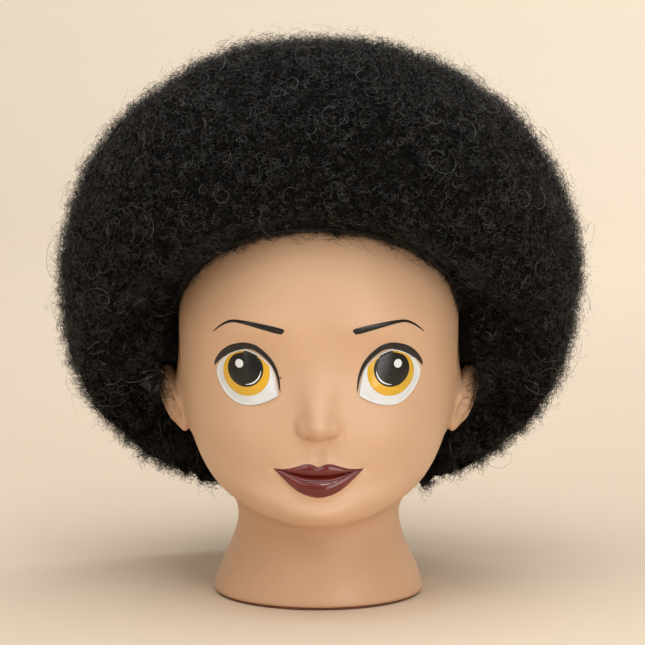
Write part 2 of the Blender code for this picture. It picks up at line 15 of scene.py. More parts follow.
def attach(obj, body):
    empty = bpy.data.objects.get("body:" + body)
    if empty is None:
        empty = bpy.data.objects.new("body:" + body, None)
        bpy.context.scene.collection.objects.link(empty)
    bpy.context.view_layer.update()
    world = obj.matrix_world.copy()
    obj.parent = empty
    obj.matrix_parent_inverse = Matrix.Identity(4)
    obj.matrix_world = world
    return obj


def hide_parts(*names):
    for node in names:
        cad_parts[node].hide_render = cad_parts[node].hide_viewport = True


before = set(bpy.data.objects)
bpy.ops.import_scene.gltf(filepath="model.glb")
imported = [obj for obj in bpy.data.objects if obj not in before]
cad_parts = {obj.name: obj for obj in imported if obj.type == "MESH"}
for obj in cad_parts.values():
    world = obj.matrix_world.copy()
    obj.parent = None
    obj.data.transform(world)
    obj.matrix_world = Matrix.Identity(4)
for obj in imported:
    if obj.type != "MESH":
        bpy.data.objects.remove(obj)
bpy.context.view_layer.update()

MM = 0.001
NECK_Y = -22.7 * MM  # the neck's axis

# ---- the head's shape, as in the CAD
VINYL = 3.5 * MM  # the skin's thickness
FACE_EXTRA = 4.0 * MM  # how much thicker it is behind the face
# each row, in millimetres: front y, front z | side x, side y, side z | back y, back z
# | squareness of the front and the back
HEAD_LEVELS = np.array((
    (-52.4, 1.35, 52.4, 0, 1.35, 52.4, 1.35, 2.0, 2.0),
    (-51.8, 8, 51.8, 0, 8, 51.8, 8, 2.0, 2.0),
    (-46.2, 19.5, 46.2, 0, 19.5, 46.2, 19.5, 2.0, 2.0),
    (-40.3, 33, 40.3, 0, 33, 40.3, 33, 2.0, 2.0),
    (-41, 42, 39.3, -1, 44, 43, 48, 2.0, 2.0),
    (-57, 43.5, 45, -4, 53, 48, 60, 2.0, 2.0),
    (-76, 44.5, 52.5, -6, 61, 56, 71, 2.0, 2.0),
    (-84.5, 54, 58.5, -5, 70.5, 65, 81, 2.05, 2.0),
    (-83, 65, 62.8, -3, 81, 74, 91.5, 2.15, 2.05),
    (-84, 77, 65.6, -1, 90, 80, 99, 2.2, 2.1),
    (-84, 89, 67.8, 1, 99, 85.5, 107, 2.25, 2.1),
    (-83, 103, 69.5, 3, 111.5, 90.5, 118, 2.3, 2.1),
    (-82.5, 121, 70.4, 5, 126, 94, 131, 2.35, 2.1),
    (-85.5, 143, 70.6, 6, 144, 95, 148, 2.3, 2.1),
    (-82.5, 165, 68.3, 7, 164, 91.5, 167, 2.2, 2.1),
    (-71, 187, 60.5, 8, 185, 79, 188, 2.1, 2.05),
    (-50, 205, 45, 8, 203.5, 60, 205, 2.0, 2.0),
    (-24, 217.2, 23.6, 8, 216.8, 35, 217.2, 2.0, 2.0),
    (8, 222, 0, 8, 222, 8, 222, 2.0, 2.0),
))

# ---- the face
EYE_X, EYE_Z = 34.2, 117.0  # millimetres
IRIS_CENTRE, PUPIL_CENTRE = (-0.1, 2.6), (0.3, 4.2)  # from the eye's middle
EYE_OUTLINE = (
    (-15.2, -8.0), (-14.6, -3.5), (-13.4, 2.2), (-11.3, 6.2), (-6.2, 10.7), (0.2, 13.3), (5.0, 12.3),
    (9.3, 10.0), (13.0, 6.2), (14.4, 2.0), (12.9, -3.6), (9.2, -8.9), (4.0, -12.4), (-2.4, -13.0),
    (-8.7, -11.4), (-12.6, -9.6), (-15.2, -8.0),
)
# share of the outline and height, up the side of an eye and over its bevelled rim
EYE_RIM = (
    (0.4, -4.0), (0.8, -4.0), (0.985, -4.0), (1.0, -3.0), (1.0, 0.5), (0.994, 1.05), (0.978, 1.3),
    (0.962, 1.25), (0.948, 1.0), (0.935, 0.92),
)
EYE_DOME = 2.7  # how far the middle of an eye stands out past its rim
EAR_SIZE = (6.5, 13.0, 17.0)  # millimetres: half of its thickness, length and height
EAR_CENTRE = (73.2, 5.0, 96.8)
EAR_LEAN, EAR_SPREAD = math.radians(-10), math.radians(22)  # backwards, and outwards at the rear
EAR_FLARE, EAR_TUCK, EAR_BEND_Z = 1.8, 0.28, 104.0
# the line over the eye: x outwards and z from the eye's middle, and half the stroke's width
LID = (
    (15.3, 4.2, 0.1), (14.8, 5.9, 0.75), (13.1, 8.5, 1.3), (10.5, 11.1, 1.75), (7.1, 13.4, 1.9),
    (3.8, 14.6, 1.85), (0.2, 15.2, 1.75), (-3.5, 14.6, 1.6), (-6.8, 12.7, 1.4), (-10.6, 9.3, 1.2),
    (-13.3, 5.4, 0.95), (-15.0, 0.9, 0.7), (-15.8, -4.0, 0.4), (-16.2, -6.8, 0.06),
)
# the brow: distance from the midline, height above the base and half the stroke's width
BROW = (
    (16.4, 139.4, 0.5), (17.0, 139.7, 1.5), (19.8, 140.3, 1.75), (25.7, 141.7, 1.55), (32.0, 143.0, 1.2),
    (36.5, 143.7, 0.9), (40.2, 143.9, 0.75), (43.0, 143.2, 0.65), (46.0, 141.5, 0.5), (49.0, 139.0, 0.3),
    (50.4, 137.6, 0.06),
)
# the lips: distance from the midline, then the heights of the top, the parting and the bottom
LIP_X = (0, 2.4, 4.6, 7.0, 10.0, 13.5, 17.0, 21.2)
LIP_TOP = (75.7, 77.1, 77.6, 77.3, 76.1, 75.0, 74.5, 74.35)
PARTING = (70.9, 70.9, 70.95, 71.15, 71.9, 72.7, 73.5, 74.3)
LIP_LOW = (61.0, 61.2, 61.7, 62.5, 63.9, 66.5, 69.9, 74.2)
LIPS_HALF = 21.4  # half of the mouth's width
# how far the bridge of the nose stands out
BRIDGE = (13.4, 11.6, 9.5, 7.6, 6.0, 4.7, 3.6, 2.6, 1.7, 0.9, 0.3, 0)
BRIDGE_LOW, BRIDGE_STEP = 96.0, 4.0


def through(points, where):
    """A smooth curve through evenly numbered points, read at each place in where."""
    points = np.asarray(points, float)
    padded = np.concatenate([2 * points[:1] - points[1:2], points, 2 * points[-1:] - points[-2:-1]])
    where = np.asarray(where, float)
    start = np.clip(np.floor(where).astype(int), 0, len(points) - 2)
    t = where - start
    if points.ndim > 1:
        t = t[..., None]
    a, b, c, d = (padded[start + i] for i in range(4))
    return 0.5 * (2 * b + (c - a) * t + (2 * a - 5 * b + 4 * c - d) * t**2 + (3 * b - a - 3 * c + d) * t**3)


def smooth_step(low, high, x):
    """0 on one side of low, 1 past high, in either direction."""
    t = np.clip((x - low) / (high - low), 0, 1)
    return t * t * (3 - 2 * t)


def head_surface(levels, around, level):
    """Points of the smooth head. around is the angle from the face, level counts the levels."""
    row = np.moveaxis(through(levels, level), -1, 0)
    front_y, front_z, side_x, side_y, side_z, back_y, back_z, square_front, square_back = row
    sine, cosine = np.sin(around), np.cos(around)
    ahead = cosine > 0
    reach = np.maximum(np.where(ahead, side_y - front_y, back_y - side_y), 1e-6)
    square = np.where(ahead, square_front, square_back)
    end_z = np.where(ahead, front_z, back_z)
    side_x = np.maximum(side_x, 1e-6)
    radius = ((np.abs(sine) / side_x) ** square + (np.abs(cosine) / reach) ** square) ** (-1 / square)
    x = radius * sine
    share = np.clip((x / side_x) ** 2, 0, 1)
    z = side_z * share + end_z * (1 - share)
    points = np.stack([x, side_y - radius * cosine, z], -1) * MM
    points[..., 1] += NECK_Y
    return points


def bump(x, z, x0, z0, wide, high):
    """A soft lump on both sides of the face, 1 high."""
    return np.exp(-(((np.abs(x) - x0) / wide) ** 2) - ((z - z0) / high) ** 2)


def button(x, z, x0, z0, wide, high, power):
    """A rounded lump with a clear edge, 1 high."""
    return np.clip(1 - ((np.abs(x) - x0) / wide) ** 2 - ((z - z0) / high) ** 2, 0, 1) ** power


def soft_max(a, b, blend):
    """The higher of two reliefs, melted together where they meet."""
    return 0.5 * (a + b + np.sqrt((a - b) ** 2 + blend**2)) - 0.5 * blend


def nose_relief(x, z):
    """A thin bridge, a round tip and two wings, all melted together."""
    across = np.abs(x)
    place = (z - BRIDGE_LOW) / BRIDGE_STEP
    height = np.maximum(through(BRIDGE, np.clip(place, 0, len(BRIDGE) - 1)), 0)
    wide = 8.0 + 0.10 * np.clip(z - 98, 0, 40)
    bridge = height * np.exp(-((across / wide) ** 2.3)) * smooth_step(88, 97, z)
    tip = 14.5 * button(x, z, 0, 95.3, 7.8, 7.5, 0.58)
    wings = 8.2 * button(x, z, 5.9, 93.8, 4.5, 4.8, 0.58)
    creases = -0.7 * bump(x, z, 11.5, 93.4, 1.0, 4.0)
    nostrils = -1.0 * bump(x, z, 4.6, 89.4, 1.5, 0.8)
    return soft_max(soft_max(bridge, tip, 2.4), wings, 2.6) + creases + nostrils


def mouth_relief(x, z):
    """Two full lips with a groove between them, and the gutter from the upper one to the nose."""
    across = np.abs(x)
    parting = np.interp(across, LIP_X, PARTING)
    upper = np.interp(across, LIP_X, LIP_TOP)
    lower = np.interp(across, LIP_X, LIP_LOW)
    taper = np.clip(1 - (across / 21.5) ** 2.2, 0, 1)
    up = np.clip((z - parting) / np.maximum(upper - parting, 0.5), -1, 2.2)
    down = np.clip((parting - z) / np.maximum(parting - lower, 0.5), -1, 2.2)
    bow = 2.9 * np.exp(-(((up - 0.5) / 0.62) ** 2)) * (up > -0.4)
    pout = 4.4 * np.exp(-(((down - 0.54) / 0.52) ** 2)) * (down > -0.4)
    pout *= 1 - 0.35 * (across / 21.5) ** 2
    groove = -0.9 * np.exp(-(((z - parting) / 0.55) ** 2))
    corners = -0.5 * bump(x, z, 21.8, 74.4, 2.2, 2.0)
    under = -1.5 * np.exp(-(((z - 57.8) / 3.2) ** 2)) * np.exp(-((x / 11) ** 2))
    gutter = (-0.25 * np.exp(-((x / 2.2) ** 2)) + 0.3 * bump(x, z, 4.1, 81, 1.8, 9)) * smooth_step(76, 79, z)
    gutter *= 1 - smooth_step(84, 87, z)
    return np.maximum(bow, pout) * taper + groove * taper + corners + under + gutter


def face_relief(x, z):
    """How far the face stands out from the smooth head, in millimetres, at x and z in millimetres."""
    chin = 3.2 * bump(x, z, 0, 52, 16, 8)
    sockets = -3.0 * bump(x, z, 33, 119, 17, 14)
    brow = 2.2 * bump(x, z, 34, 142, 24, 8)
    cheeks = 2.5 * bump(x, z, 40, 92, 18, 14)
    return nose_relief(x, z) + mouth_relief(x, z) + chin + sockets + brow + cheeks


# ---- meshes
def placed(name, data):
    """A new object in the scene."""
    made = bpy.data.objects.new(name, data)
    bpy.context.scene.collection.objects.link(made)
    return made


def mesh_object(name, points, faces, look, body):
    """A smooth mesh that rides on a body."""
    mesh = bpy.data.meshes.new(name)
    mesh.from_pydata([tuple(p) for p in points], [], faces)
    mesh.update()
    mesh.shade_smooth()
    mesh.materials.append(look)
    made = placed(name, mesh)
    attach(made, body)
    return made


def faces_out(made):
    """Turns a closed mesh's faces outwards."""
    bm = bmesh.new()
    bm.from_mesh(made.data)
    bmesh.ops.remove_doubles(bm, verts=bm.verts, dist=0.004 * MM)
    bmesh.ops.recalc_face_normals(bm, faces=bm.faces)
    bm.to_mesh(made.data)
    bm.free()
    return made


def tube_faces(rings, sides, start=0, closed=True):
    """Quads between rings of points, each ring with the same number of sides."""
    faces = []
    last = sides if closed else sides - 1
    for r in range(rings - 1):
        low, high = start + r * sides, start + (r + 1) * sides
        for i in range(last):
            j = (i + 1) % sides
            faces.append((low + i, low + j, high + j, high + i))
    return faces


def ringed(name, rings, look, body, capped=True):
    """A closed tube through rings of points, its ends capped by fans."""
    rings = np.asarray(rings, float)
    count, sides = rings.shape[:2]
    points = list(rings.reshape(-1, 3))
    faces = tube_faces(count, sides)
    for end in (0, count - 1) if capped else ():
        points.append(rings[end].mean(axis=0))
        base = end * sides
        faces += [(base + i, base + (i + 1) % sides, len(points) - 1) for i in range(sides)]
    return faces_out(mesh_object(name, points, faces, look, body))


def tree_of(*objects):
    """A tree of all their faces, to cast rays at."""
    points, faces = [], []
    for o in objects:
        base = len(points)
        points += [o.matrix_world @ v.co for v in o.data.vertices]
        faces += [[base + i for i in p.vertices] for p in o.data.polygons]
    return BVHTree.FromPolygons(points, faces)


BEFORE_Y, MISSED_Y = -0.4, NECK_Y - 60 * MM  # where a ray starts, and a place for one that misses


def ahead_of(tree, x, z):
    """The y of the surface met from the front, at x and z in millimetres."""
    hit = tree.ray_cast(Vector((x * MM, BEFORE_Y, z * MM)), Vector((0, 1, 0)))[0]
    return hit.y if hit else MISSED_Y


# ---- materials
class Look:
    """A procedural material under construction."""

    def __init__(self, name, roughness, metallic=0.0, coat=0.0, coat_roughness=0.06, specular=0.5):
        self.made = bpy.data.materials.new(name)
        self.made.use_nodes = True
        self.tree = self.made.node_tree
        self.shader = self.tree.nodes["Principled BSDF"]
        self.place = self.node("ShaderNodeTexCoord").outputs["Object"]
        self.set({"Roughness": roughness, "Metallic": metallic, "Specular IOR Level": specular})
        self.set({"Coat Weight": coat, "Coat Roughness": coat_roughness})

    def set(self, values):
        for name, value in values.items():
            self.shader.inputs[name].default_value = value

    def node(self, kind, values=None, links=None):
        """A new node, with values and links on its named inputs."""
        made = self.tree.nodes.new(kind)
        for name, value in (values or {}).items():
            made.inputs[name].default_value = value
        for name, source in (links or {}).items():
            self.tree.links.new(source, made.inputs[name])
        return made

    def shade(self, name, source):
        self.tree.links.new(source, self.shader.inputs[name])
        return self

    def noise(self, scale, detail=3.0, rough=0.5):
        values = {"Scale": scale, "Detail": detail, "Roughness": rough}
        return self.node("ShaderNodeTexNoise", values, {"Vector": self.place}).outputs["Fac"]

    def waves(self, scale, direction, distortion):
        values = {"Scale": scale, "Distortion": distortion}
        node = self.node("ShaderNodeTexWave", values, {"Vector": self.place})
        node.bands_direction = direction
        return node.outputs["Fac"]

    def along(self, axis, low, high):
        """0 at one place on an axis, 1 at another."""
        split = self.node("ShaderNodeSeparateXYZ", links={"Vector": self.place})
        ends = {"From Min": low, "From Max": high}
        return self.node("ShaderNodeMapRange", ends, {"Value": split.outputs[axis]}).outputs["Result"]

    def ramp(self, value, stops):
        node = self.node("ShaderNodeValToRGB", links={"Fac": value})
        while len(node.color_ramp.elements) < len(stops):
            node.color_ramp.elements.new(0.5)
        for element, (place, colour) in zip(node.color_ramp.elements, stops):
            element.position = place
            element.color = (*colour, 1)
        return node.outputs["Color"]

    def clouds(self, scale, first, second, detail=3.0):
        """Two close colours in soft clouds."""
        return self.ramp(self.noise(scale, detail), ((0.3, srgb(first)), (0.7, srgb(second))))

    def product(self, first, second):
        """Two colours or two values multiplied. The Mix node's colour sockets have no names of their own."""
        node = self.tree.nodes.new("ShaderNodeMix")
        node.data_type, node.blend_type = "RGBA", "MULTIPLY"
        node.inputs["Factor"].default_value = 1.0
        for source, socket in ((first, 6), (second, 7)):
            self.tree.links.new(source, node.inputs[socket])
        return node.outputs[2]

    def rough(self, value, low, high):
        node = self.node("ShaderNodeMapRange", {"To Min": low, "To Max": high}, {"Value": value})
        return self.shade("Roughness", node.outputs["Result"])

    def bump(self, value, depth):
        node = self.node("ShaderNodeBump", {"Strength": 1.0, "Distance": depth}, {"Height": value})
        return self.shade("Normal", node.outputs["Normal"])


def srgb(code):
    """A linear colour from a web code."""
    values = [int(code[i : i + 2], 16) / 255 for i in (1, 3, 5)]
    return tuple(v / 12.92 if v <= 0.04045 else ((v + 0.055) / 1.055) ** 2.4 for v in values)


# name, two close colours, scale of their clouds, roughness, depth and scale of the grain, then the rest
MOTTLED = (
    ("eye_white", "#dbe0e2", "#e4e9eb", 160.0, 0.35, 0.0, 900.0, {"coat": 0.1}),
    ("highlight_paint", "#e6edf0", "#eef3f5", 300.0, 0.3, 0.0, 900.0, {"coat": 0.3}),
    ("black_paint", "#070606", "#100e0e", 400.0, 0.24, 0.00004, 900.0, {}),
    ("pupil_paint", "#080808", "#111111", 90.0, 0.26, 0.00012, 800.0, {"specular": 0.55}),
    ("pupil_edge_paint", "#050505", "#0a0909", 300.0, 0.3, 0.0, 900.0, {}),
    # painted shade for the lips' parting and fold
    ("crease_shade_paint", "#2c0c0a", "#3a120f", 300.0, 0.4, 0.0, 900.0, {"specular": 0.1}),
    ("lip_paint", "#621610", "#711c15", 120.0, 0.3, 0.00004, 520.0,
     {"coat": 0.8, "coat_roughness": 0.1, "specular": 0.3}),
    ("tab_felt_cloth", "#b98a66", "#c99a75", 500.0, 0.85, 0.0003, 1800.0, {}),
    ("moulded_plastic", "#c9c3b4", "#d4cfc2", 40.0, 0.45, 0.00008, 800.0, {}),
    ("foam_rubber", "#6a4029", "#7b4c32", 300.0, 0.9, 0.0004, 1600.0, {}),
)
# name, the cloth's two colours, scale and depth of its weave
WOVEN = (
    ("ribbed_elastic", "#0d0c0c", "#1c1a19", 700.0, 0.0004),
    ("net_cloth", "#0b0a0a", "#211e1c", 420.0, 0.0006),
    ("weft_thread_cloth", "#0f0d0c", "#221e1b", 1100.0, 0.0004),
)


def mottled(name, first, second, scale, roughness, depth, grain, more):
    """A plain plastic, paint or rubber: two close colours in soft clouds, with a fine grain."""
    look = Look(name, roughness, **more)
    look.shade("Base Color", look.clouds(scale, first, second))
    fine = look.noise(grain, 4.0)
    look.rough(fine, roughness - 0.05, roughness + 0.05)
    if depth:
        look.bump(fine, depth)
    return look.made


def woven(name, first, second, scale, depth):
    """A cloth of crossing threads."""
    look = Look(name, 0.8)
    threads = look.product(look.waves(scale, "Z", 0.6), look.waves(scale, "X", 0.6))
    look.shade("Base Color", look.ramp(threads, ((0.1, srgb(first)), (0.8, srgb(second)))))
    return look.bump(threads, depth).made


def vinyl():
    """Soft matte skin, a little greyer down the neck: partly the raw vinyl's own tone, partly painted shade
    under the chin and the hair.
    """
    look = Look("vinyl", 0.48)
    # darker below the jaw: partly the neck's own tone, partly painted shade
    neck_tone_and_shade = look.ramp(look.along("Z", 0.0, 0.1), ((0.35, srgb("#f9f7f5")), (0.62, (1, 1, 1))))
    colour = look.clouds(28.0, "#d3ac8b", "#d9b291")
    look.shade("Base Color", look.product(colour, neck_tone_and_shade))
    grain = look.noise(1500.0, 4.0)
    look.rough(grain, 0.43, 0.53).bump(grain, 0.00006)
    look.set({"Subsurface Weight": 0.08, "Subsurface Radius": (1.0, 0.45, 0.25), "Subsurface Scale": 0.004})
    return look.made


def iris_paint():
    look = Look("iris_paint", 0.25, coat=0.3)
    return look.shade("Base Color", look.clouds(60.0, "#d6ab2a", "#e9b431", 2.0)).made


def spring_steel():
    look = Look("spring_steel", 0.28, metallic=1.0)
    look.shade("Base Color", look.clouds(900.0, "#9a9a9c", "#c6c6c8", 2.0))
    return look.rough(look.noise(2500.0), 0.2, 0.36).made


def hair_depth():
    look = Look("hair_depth", 0.9, specular=0.05)
    stops = ((0.35, (0.0015, 0.0013, 0.0012)), (0.75, (0.012, 0.0105, 0.009)))
    look.shade("Base Color", look.ramp(look.noise(450.0, 5.0, 0.7), stops))
    return look.bump(look.noise(700.0, 4.0, 0.7), 0.002).made


def build_looks():
    """Every finish but the fibres', by its material's name."""
    made = [vinyl(), iris_paint(), spring_steel(), hair_depth()]
    made += [mottled(*row) for row in MOTTLED] + [woven(*row) for row in WOVEN]
    return {look.name: look for look in made}


# ---- the head
HEAD_COLUMNS, NECK_ROWS, FACE_ROWS, TOP_ROWS = 360, 34, 176, 32
NECK_TOP, FACE_TOP, CROWN = 6.2, 13.6, 17.93  # levels of the head
SHARP = math.radians(28)  # a crease where an ear meets the head


def head_angles(count):
    """Angles round the head, closer together on the face."""
    even = np.linspace(0, 2 * math.pi, count, endpoint=False)
    return even - 0.52 * np.sin(even) - 0.07 * np.sin(2 * even)


def relaxed(rings, times):
    """Rings, or the points of a line, with the steps between them smoothed out and the ends kept."""
    for _ in range(times):
        rings[1:-1] = 0.25 * rings[:-2] + 0.5 * rings[1:-1] + 0.25 * rings[2:]
    return rings


def head_outside():
    """The head's skin with the face on it, from the foot up."""
    level = np.concatenate([
        np.linspace(0, NECK_TOP, NECK_ROWS), np.linspace(NECK_TOP, FACE_TOP, FACE_ROWS)[1:],
        np.linspace(FACE_TOP, CROWN, TOP_ROWS)[1:],
    ])
    around = head_angles(HEAD_COLUMNS)
    grid = head_surface(HEAD_LEVELS, around[None, :] + 0 * level[:, None], level[:, None] + 0 * around)
    start = grid[:3].copy()
    grid = relaxed(grid, 24)
    grid[:3] = start
    facing = np.clip(np.cos(around) * 1.6 - 0.15, 0, 1) ** 0.7
    grid[..., 1] -= face_relief(grid[..., 0] / MM, grid[..., 2] / MM) * MM * facing
    grid[..., 0] += np.sign(grid[..., 0]) * ear_root(grid[..., 1] - NECK_Y, grid[..., 2])
    return grid


def ear_root(y, z):
    """How far the cheek swells out to meet the front of each ear."""
    back, up = (y / MM - 0.5) / 7.5, (z / MM - 96.0) / 14.5
    return 4.8 * MM * np.exp(-(back**2) - up**2)


def head_inside():
    """The inside of the moulded skin, from the foot up, with as many sides as the outside."""
    around = head_angles(HEAD_COLUMNS)
    rings = []
    for v in (0, 1, 2, 3, 4.2, 5.4, 6.6, 8, 9.5, 11, 12.5, 14, 15.2, 16.3, 17.2, 17.8):
        ring = head_surface(HEAD_LEVELS, around, np.full_like(around, v))
        middle = ring.mean(axis=0)
        away = ring - middle
        size = np.linalg.norm(away[:, :2], axis=1, keepdims=True)
        shrink = np.clip(1 - (VINYL + 1.5 * MM * (v > 4)) / np.maximum(size, 1e-6), 0.05, 1)
        ring = middle + away * shrink
        behind_face = min(1.0, max(0.0, (v - 5) / 2), max(0.0, (16 - v) / 3))
        ring[:, 1] += FACE_EXTRA * behind_face * np.clip(-away[:, 1] / np.maximum(size[:, 0], 1e-6), 0, 1)
        ring[:, 2] -= VINYL * max(0.0, (v - 13) / 5)
        rings.append(ring)
    return np.array(rings)


def ear(side):
    """An ear as two dished faces on one outline: the rim, the hollow and the lobe stand on the outer face."""
    turns = np.linspace(0, 2 * math.pi, 72, endpoint=False)
    shares = np.sin(np.linspace(0, 0.5 * math.pi, 26))
    outer = np.array([ear_ring(turns, s, True) for s in shares])
    inner = np.array([ear_ring(turns, s, False) for s in shares[::-1][1:]])
    rings = np.concatenate([outer, inner])
    rings[..., 0] *= side
    lean = Matrix.Rotation(EAR_LEAN, 4, "X")
    spread = Matrix.Rotation(-EAR_SPREAD * side, 4, "Z")
    place = Matrix.Translation(Vector((side * EAR_CENTRE[0], EAR_CENTRE[1] + NECK_Y / MM, EAR_CENTRE[2])))
    turn = np.array(place @ spread @ lean)
    points = rings @ turn[:3, :3].T + turn[:3, 3]
    points[..., 0] += side * ear_tuck(points[..., 2])
    return points * MM


def ear_tuck(z):
    """How far the ear shifts outwards at a height, in millimetres: its lower half leans in to the jaw."""
    below = EAR_BEND_Z - z
    return EAR_FLARE - EAR_TUCK * 0.5 * (below + np.sqrt(below**2 + 9.0))


def ear_ring(turns, share, outside):
    """One ring of an ear in millimetres: x outwards from the head, y backwards, z up."""
    back, up = np.cos(turns), np.sin(turns)
    narrow = 1 - 0.20 * np.clip(-up, 0, 1) ** 1.5 - 0.06 * np.clip(up, 0, 1) ** 2
    root = 1 - 0.45 * np.clip(-back, 0, 1) * np.clip(up, 0, 1)
    y, z = back * share * narrow * root, up * share * root
    edge = math.sqrt(max(0.0, 1 - share * share))
    thick, long, tall = EAR_SIZE
    if not outside:
        return np.stack([np.full_like(y, -thick * edge), long * y, tall * z], -1)
    x = np.full_like(y, 3.6 * edge)
    helix = np.exp(-(((share - 0.86) / 0.09) ** 2)) * smooth_step(-0.75, -0.35, up + 0.35 * back)
    groove = np.exp(-(((share - 0.68) / 0.1) ** 2)) * smooth_step(-0.35, 0.15, up + 0.2 * back)
    hollow = np.exp(-(((y + 0.34) / 0.30) ** 2) - ((z + 0.02) / 0.44) ** 2)
    x += 1.5 * helix - 1.3 * groove - 6.4 * hollow
    return np.stack([x, long * y, tall * z], -1)


def build_head(looks):
    outside, inside = head_outside(), head_inside()
    grid = np.concatenate([outside[::-1], inside])
    head = ringed("head_skin", grid, looks["vinyl"], "head")
    for side, word in ((-1, "left"), (1, "right")):
        extra = ringed(f"ear_{word}", ear(side), looks["vinyl"], "head", capped=False)
        step = head.modifiers.new(f"ear_{word}", "BOOLEAN")
        step.operation = "UNION"
        step.solver = "MANIFOLD"
        step.object = extra
        applied(head)
        bpy.data.objects.remove(extra, do_unlink=True)
    melt_seam(head)
    head.data.shade_smooth()
    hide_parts("head_shell")
    return head


def applied(made):
    """The object with its modifiers worked into its mesh."""
    bpy.context.view_layer.update()
    graph = bpy.context.evaluated_depsgraph_get()
    mesh = bpy.data.meshes.new_from_object(made.evaluated_get(graph))
    made.modifiers.clear()
    made.data = mesh
    return made


def melt_seam(head):
    """Softens the crease where each ear grows out of the head, as a mould does."""
    bm = bmesh.new()
    bm.from_mesh(head.data)
    sharp = set()
    for edge in bm.edges:
        if len(edge.link_faces) == 2 and edge.calc_face_angle(0) > SHARP:
            if abs(edge.verts[0].co.x) > 60 * MM and edge.verts[0].co.z > 70 * MM:
                sharp.update(edge.verts)
    near = set(sharp)
    near |= {e.other_vert(v) for v in near for e in v.link_edges}
    for _ in range(2):
        bmesh.ops.smooth_vert(
            bm, verts=list(near), factor=0.5, use_axis_x=True, use_axis_y=True, use_axis_z=True,
        )
    bm.to_mesh(head.data)
    bm.free()


# ---- eyes and paint
def eye_base(tree):
    """A smooth sheet under each eye: y from x and z, in millimetres from the eye's middle."""
    x, z = np.meshgrid(np.linspace(-17, 17, 15), np.linspace(-15, 16, 15))
    x, z = x.ravel(), z.ravel()
    y = np.array([ahead_of(tree, EYE_X + a, EYE_Z + b) for a, b in zip(x, z)])
    terms = np.stack([np.ones_like(x), x, z, x * x, x * z, z * z], -1)
    best = np.linalg.lstsq(terms, y, rcond=None)[0]
    return lambda a, b: best @ np.array([1 + 0 * a, a, b, a * a, a * b, b * b])


def outline_of(points, count):
    """Points evenly along a smooth curve through a closed outline's own points."""
    return through(points, np.linspace(0, len(points) - 1, count, endpoint=False))


def build_eye(side, word, base, looks):
    """A glossy domed eye with a bevelled rim."""
    outline = outline_of(EYE_OUTLINE, 160)
    edge, low = EYE_RIM[-1]
    dome = tuple((share, low + EYE_DOME * (1 - (share / edge) ** 2)) for share in np.linspace(0.9, 0.06, 16))
    rings = []
    for share, height in EYE_RIM + dome:
        x, z = outline[:, 0] * share, outline[:, 1] * share
        y = base(x, z) - height * MM
        rings.append(np.stack([side * (EYE_X + x) * MM, y, (EYE_Z + z) * MM], -1))
    eye = ringed(f"eye_ball_{word}", rings, looks["eye_white"], "head")
    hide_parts(f"eye_{word}")
    return eye


PAINT_SINK = 0.25  # millimetres


def paint_grid(name, x, z, side, tree, lift, look):
    """A film of paint over a grid of places: domed by lift, its edges sunk into the surface."""
    rows, columns = x.shape
    y = np.array([[ahead_of(tree, side * a, b) for a, b in zip(*line)] for line in zip(x, z)])
    across = np.sin(np.linspace(0, math.pi, columns)) ** 0.45
    along = np.clip(np.sin(np.linspace(0, math.pi, rows)) ** 0.3, 0, 1)
    crown = along[:, None] * across[None, :]
    front = np.stack([side * x * MM, y - (lift * crown - PAINT_SINK * (crown < 0.05)) * MM, z * MM], -1)
    back = np.stack([side * x * MM, y + PAINT_SINK * 2 * MM, z * MM], -1)
    points = np.concatenate([front.reshape(-1, 3), back.reshape(-1, 3)])
    faces = tube_faces(rows, columns, closed=False)
    faces += tube_faces(rows, columns, rows * columns, closed=False)
    edge = [(0, c) for c in range(columns)] + [(r, columns - 1) for r in range(1, rows)]
    edge += [(rows - 1, c) for c in range(columns - 2, -1, -1)]
    edge += [(r, 0) for r in range(rows - 2, 0, -1)]
    edge = [r * columns + c for r, c in edge]
    for a, b in zip(edge, edge[1:] + edge[:1]):
        faces.append((a, b, b + rows * columns, a + rows * columns))
    return faces_out(mesh_object(name, points, faces, look, "head"))


def stroke(name, line, middle, side, tree, lift, look, count=60, columns=9):
    """A brush stroke along x, z and half width, in millimetres from middle."""
    rows = through(line, np.linspace(0, len(line) - 1, count))
    slope = np.gradient(rows[:, :2], axis=0)
    slope /= np.linalg.norm(slope, axis=1, keepdims=True)
    away = np.linspace(-1, 1, columns)[None, :] * np.maximum(rows[:, 2:3], 0.03)
    x = middle[0] + rows[:, :1] - slope[:, 1:] * away
    z = middle[1] + rows[:, 1:2] + slope[:, :1] * away
    return paint_grid(name, x, z, side, tree, lift, look)


def disc(name, centre, outline, side, tree, lift, look, rings=10):
    """A film of paint inside a closed outline round a centre, in millimetres."""
    outline = np.asarray(outline, float)
    shares = [0.3, 0.8, 1.0] + [1.0] + list(np.linspace(0.97, 0.05, rings))
    heights = [-0.4, -0.4, -0.3, 0.3 * lift] + [lift] * rings
    made = []
    for share, height in zip(shares, heights):
        x, z = centre[0] + outline[:, 0] * share, centre[1] + outline[:, 1] * share
        y = np.array([ahead_of(tree, side * a, b) for a, b in zip(x, z)]) - height * MM
        made.append(np.stack([side * x * MM, y, z * MM], -1))
    return ringed(name, made, look, "head")


def circle(radius_x, radius_z=None, count=64):
    turn = np.linspace(0, 2 * math.pi, count, endpoint=False)
    return np.stack([np.cos(turn) * radius_x, np.sin(turn) * (radius_z or radius_x)], -1)


def inside_eye(centre, radius, margin):
    """A circle round a centre, cut to the eye's outline; both from the eye's middle."""
    edge = outline_of(EYE_OUTLINE, 400) * margin
    ring = circle(radius, count=96) + centre
    reach = np.interp(np.arctan2(ring[:, 1], ring[:, 0]), np.arctan2(edge[:, 1], edge[:, 0]),
                      np.hypot(edge[:, 0], edge[:, 1]), period=2 * math.pi)
    return ring * np.minimum(1, reach / np.hypot(ring[:, 0], ring[:, 1]))[:, None] - centre


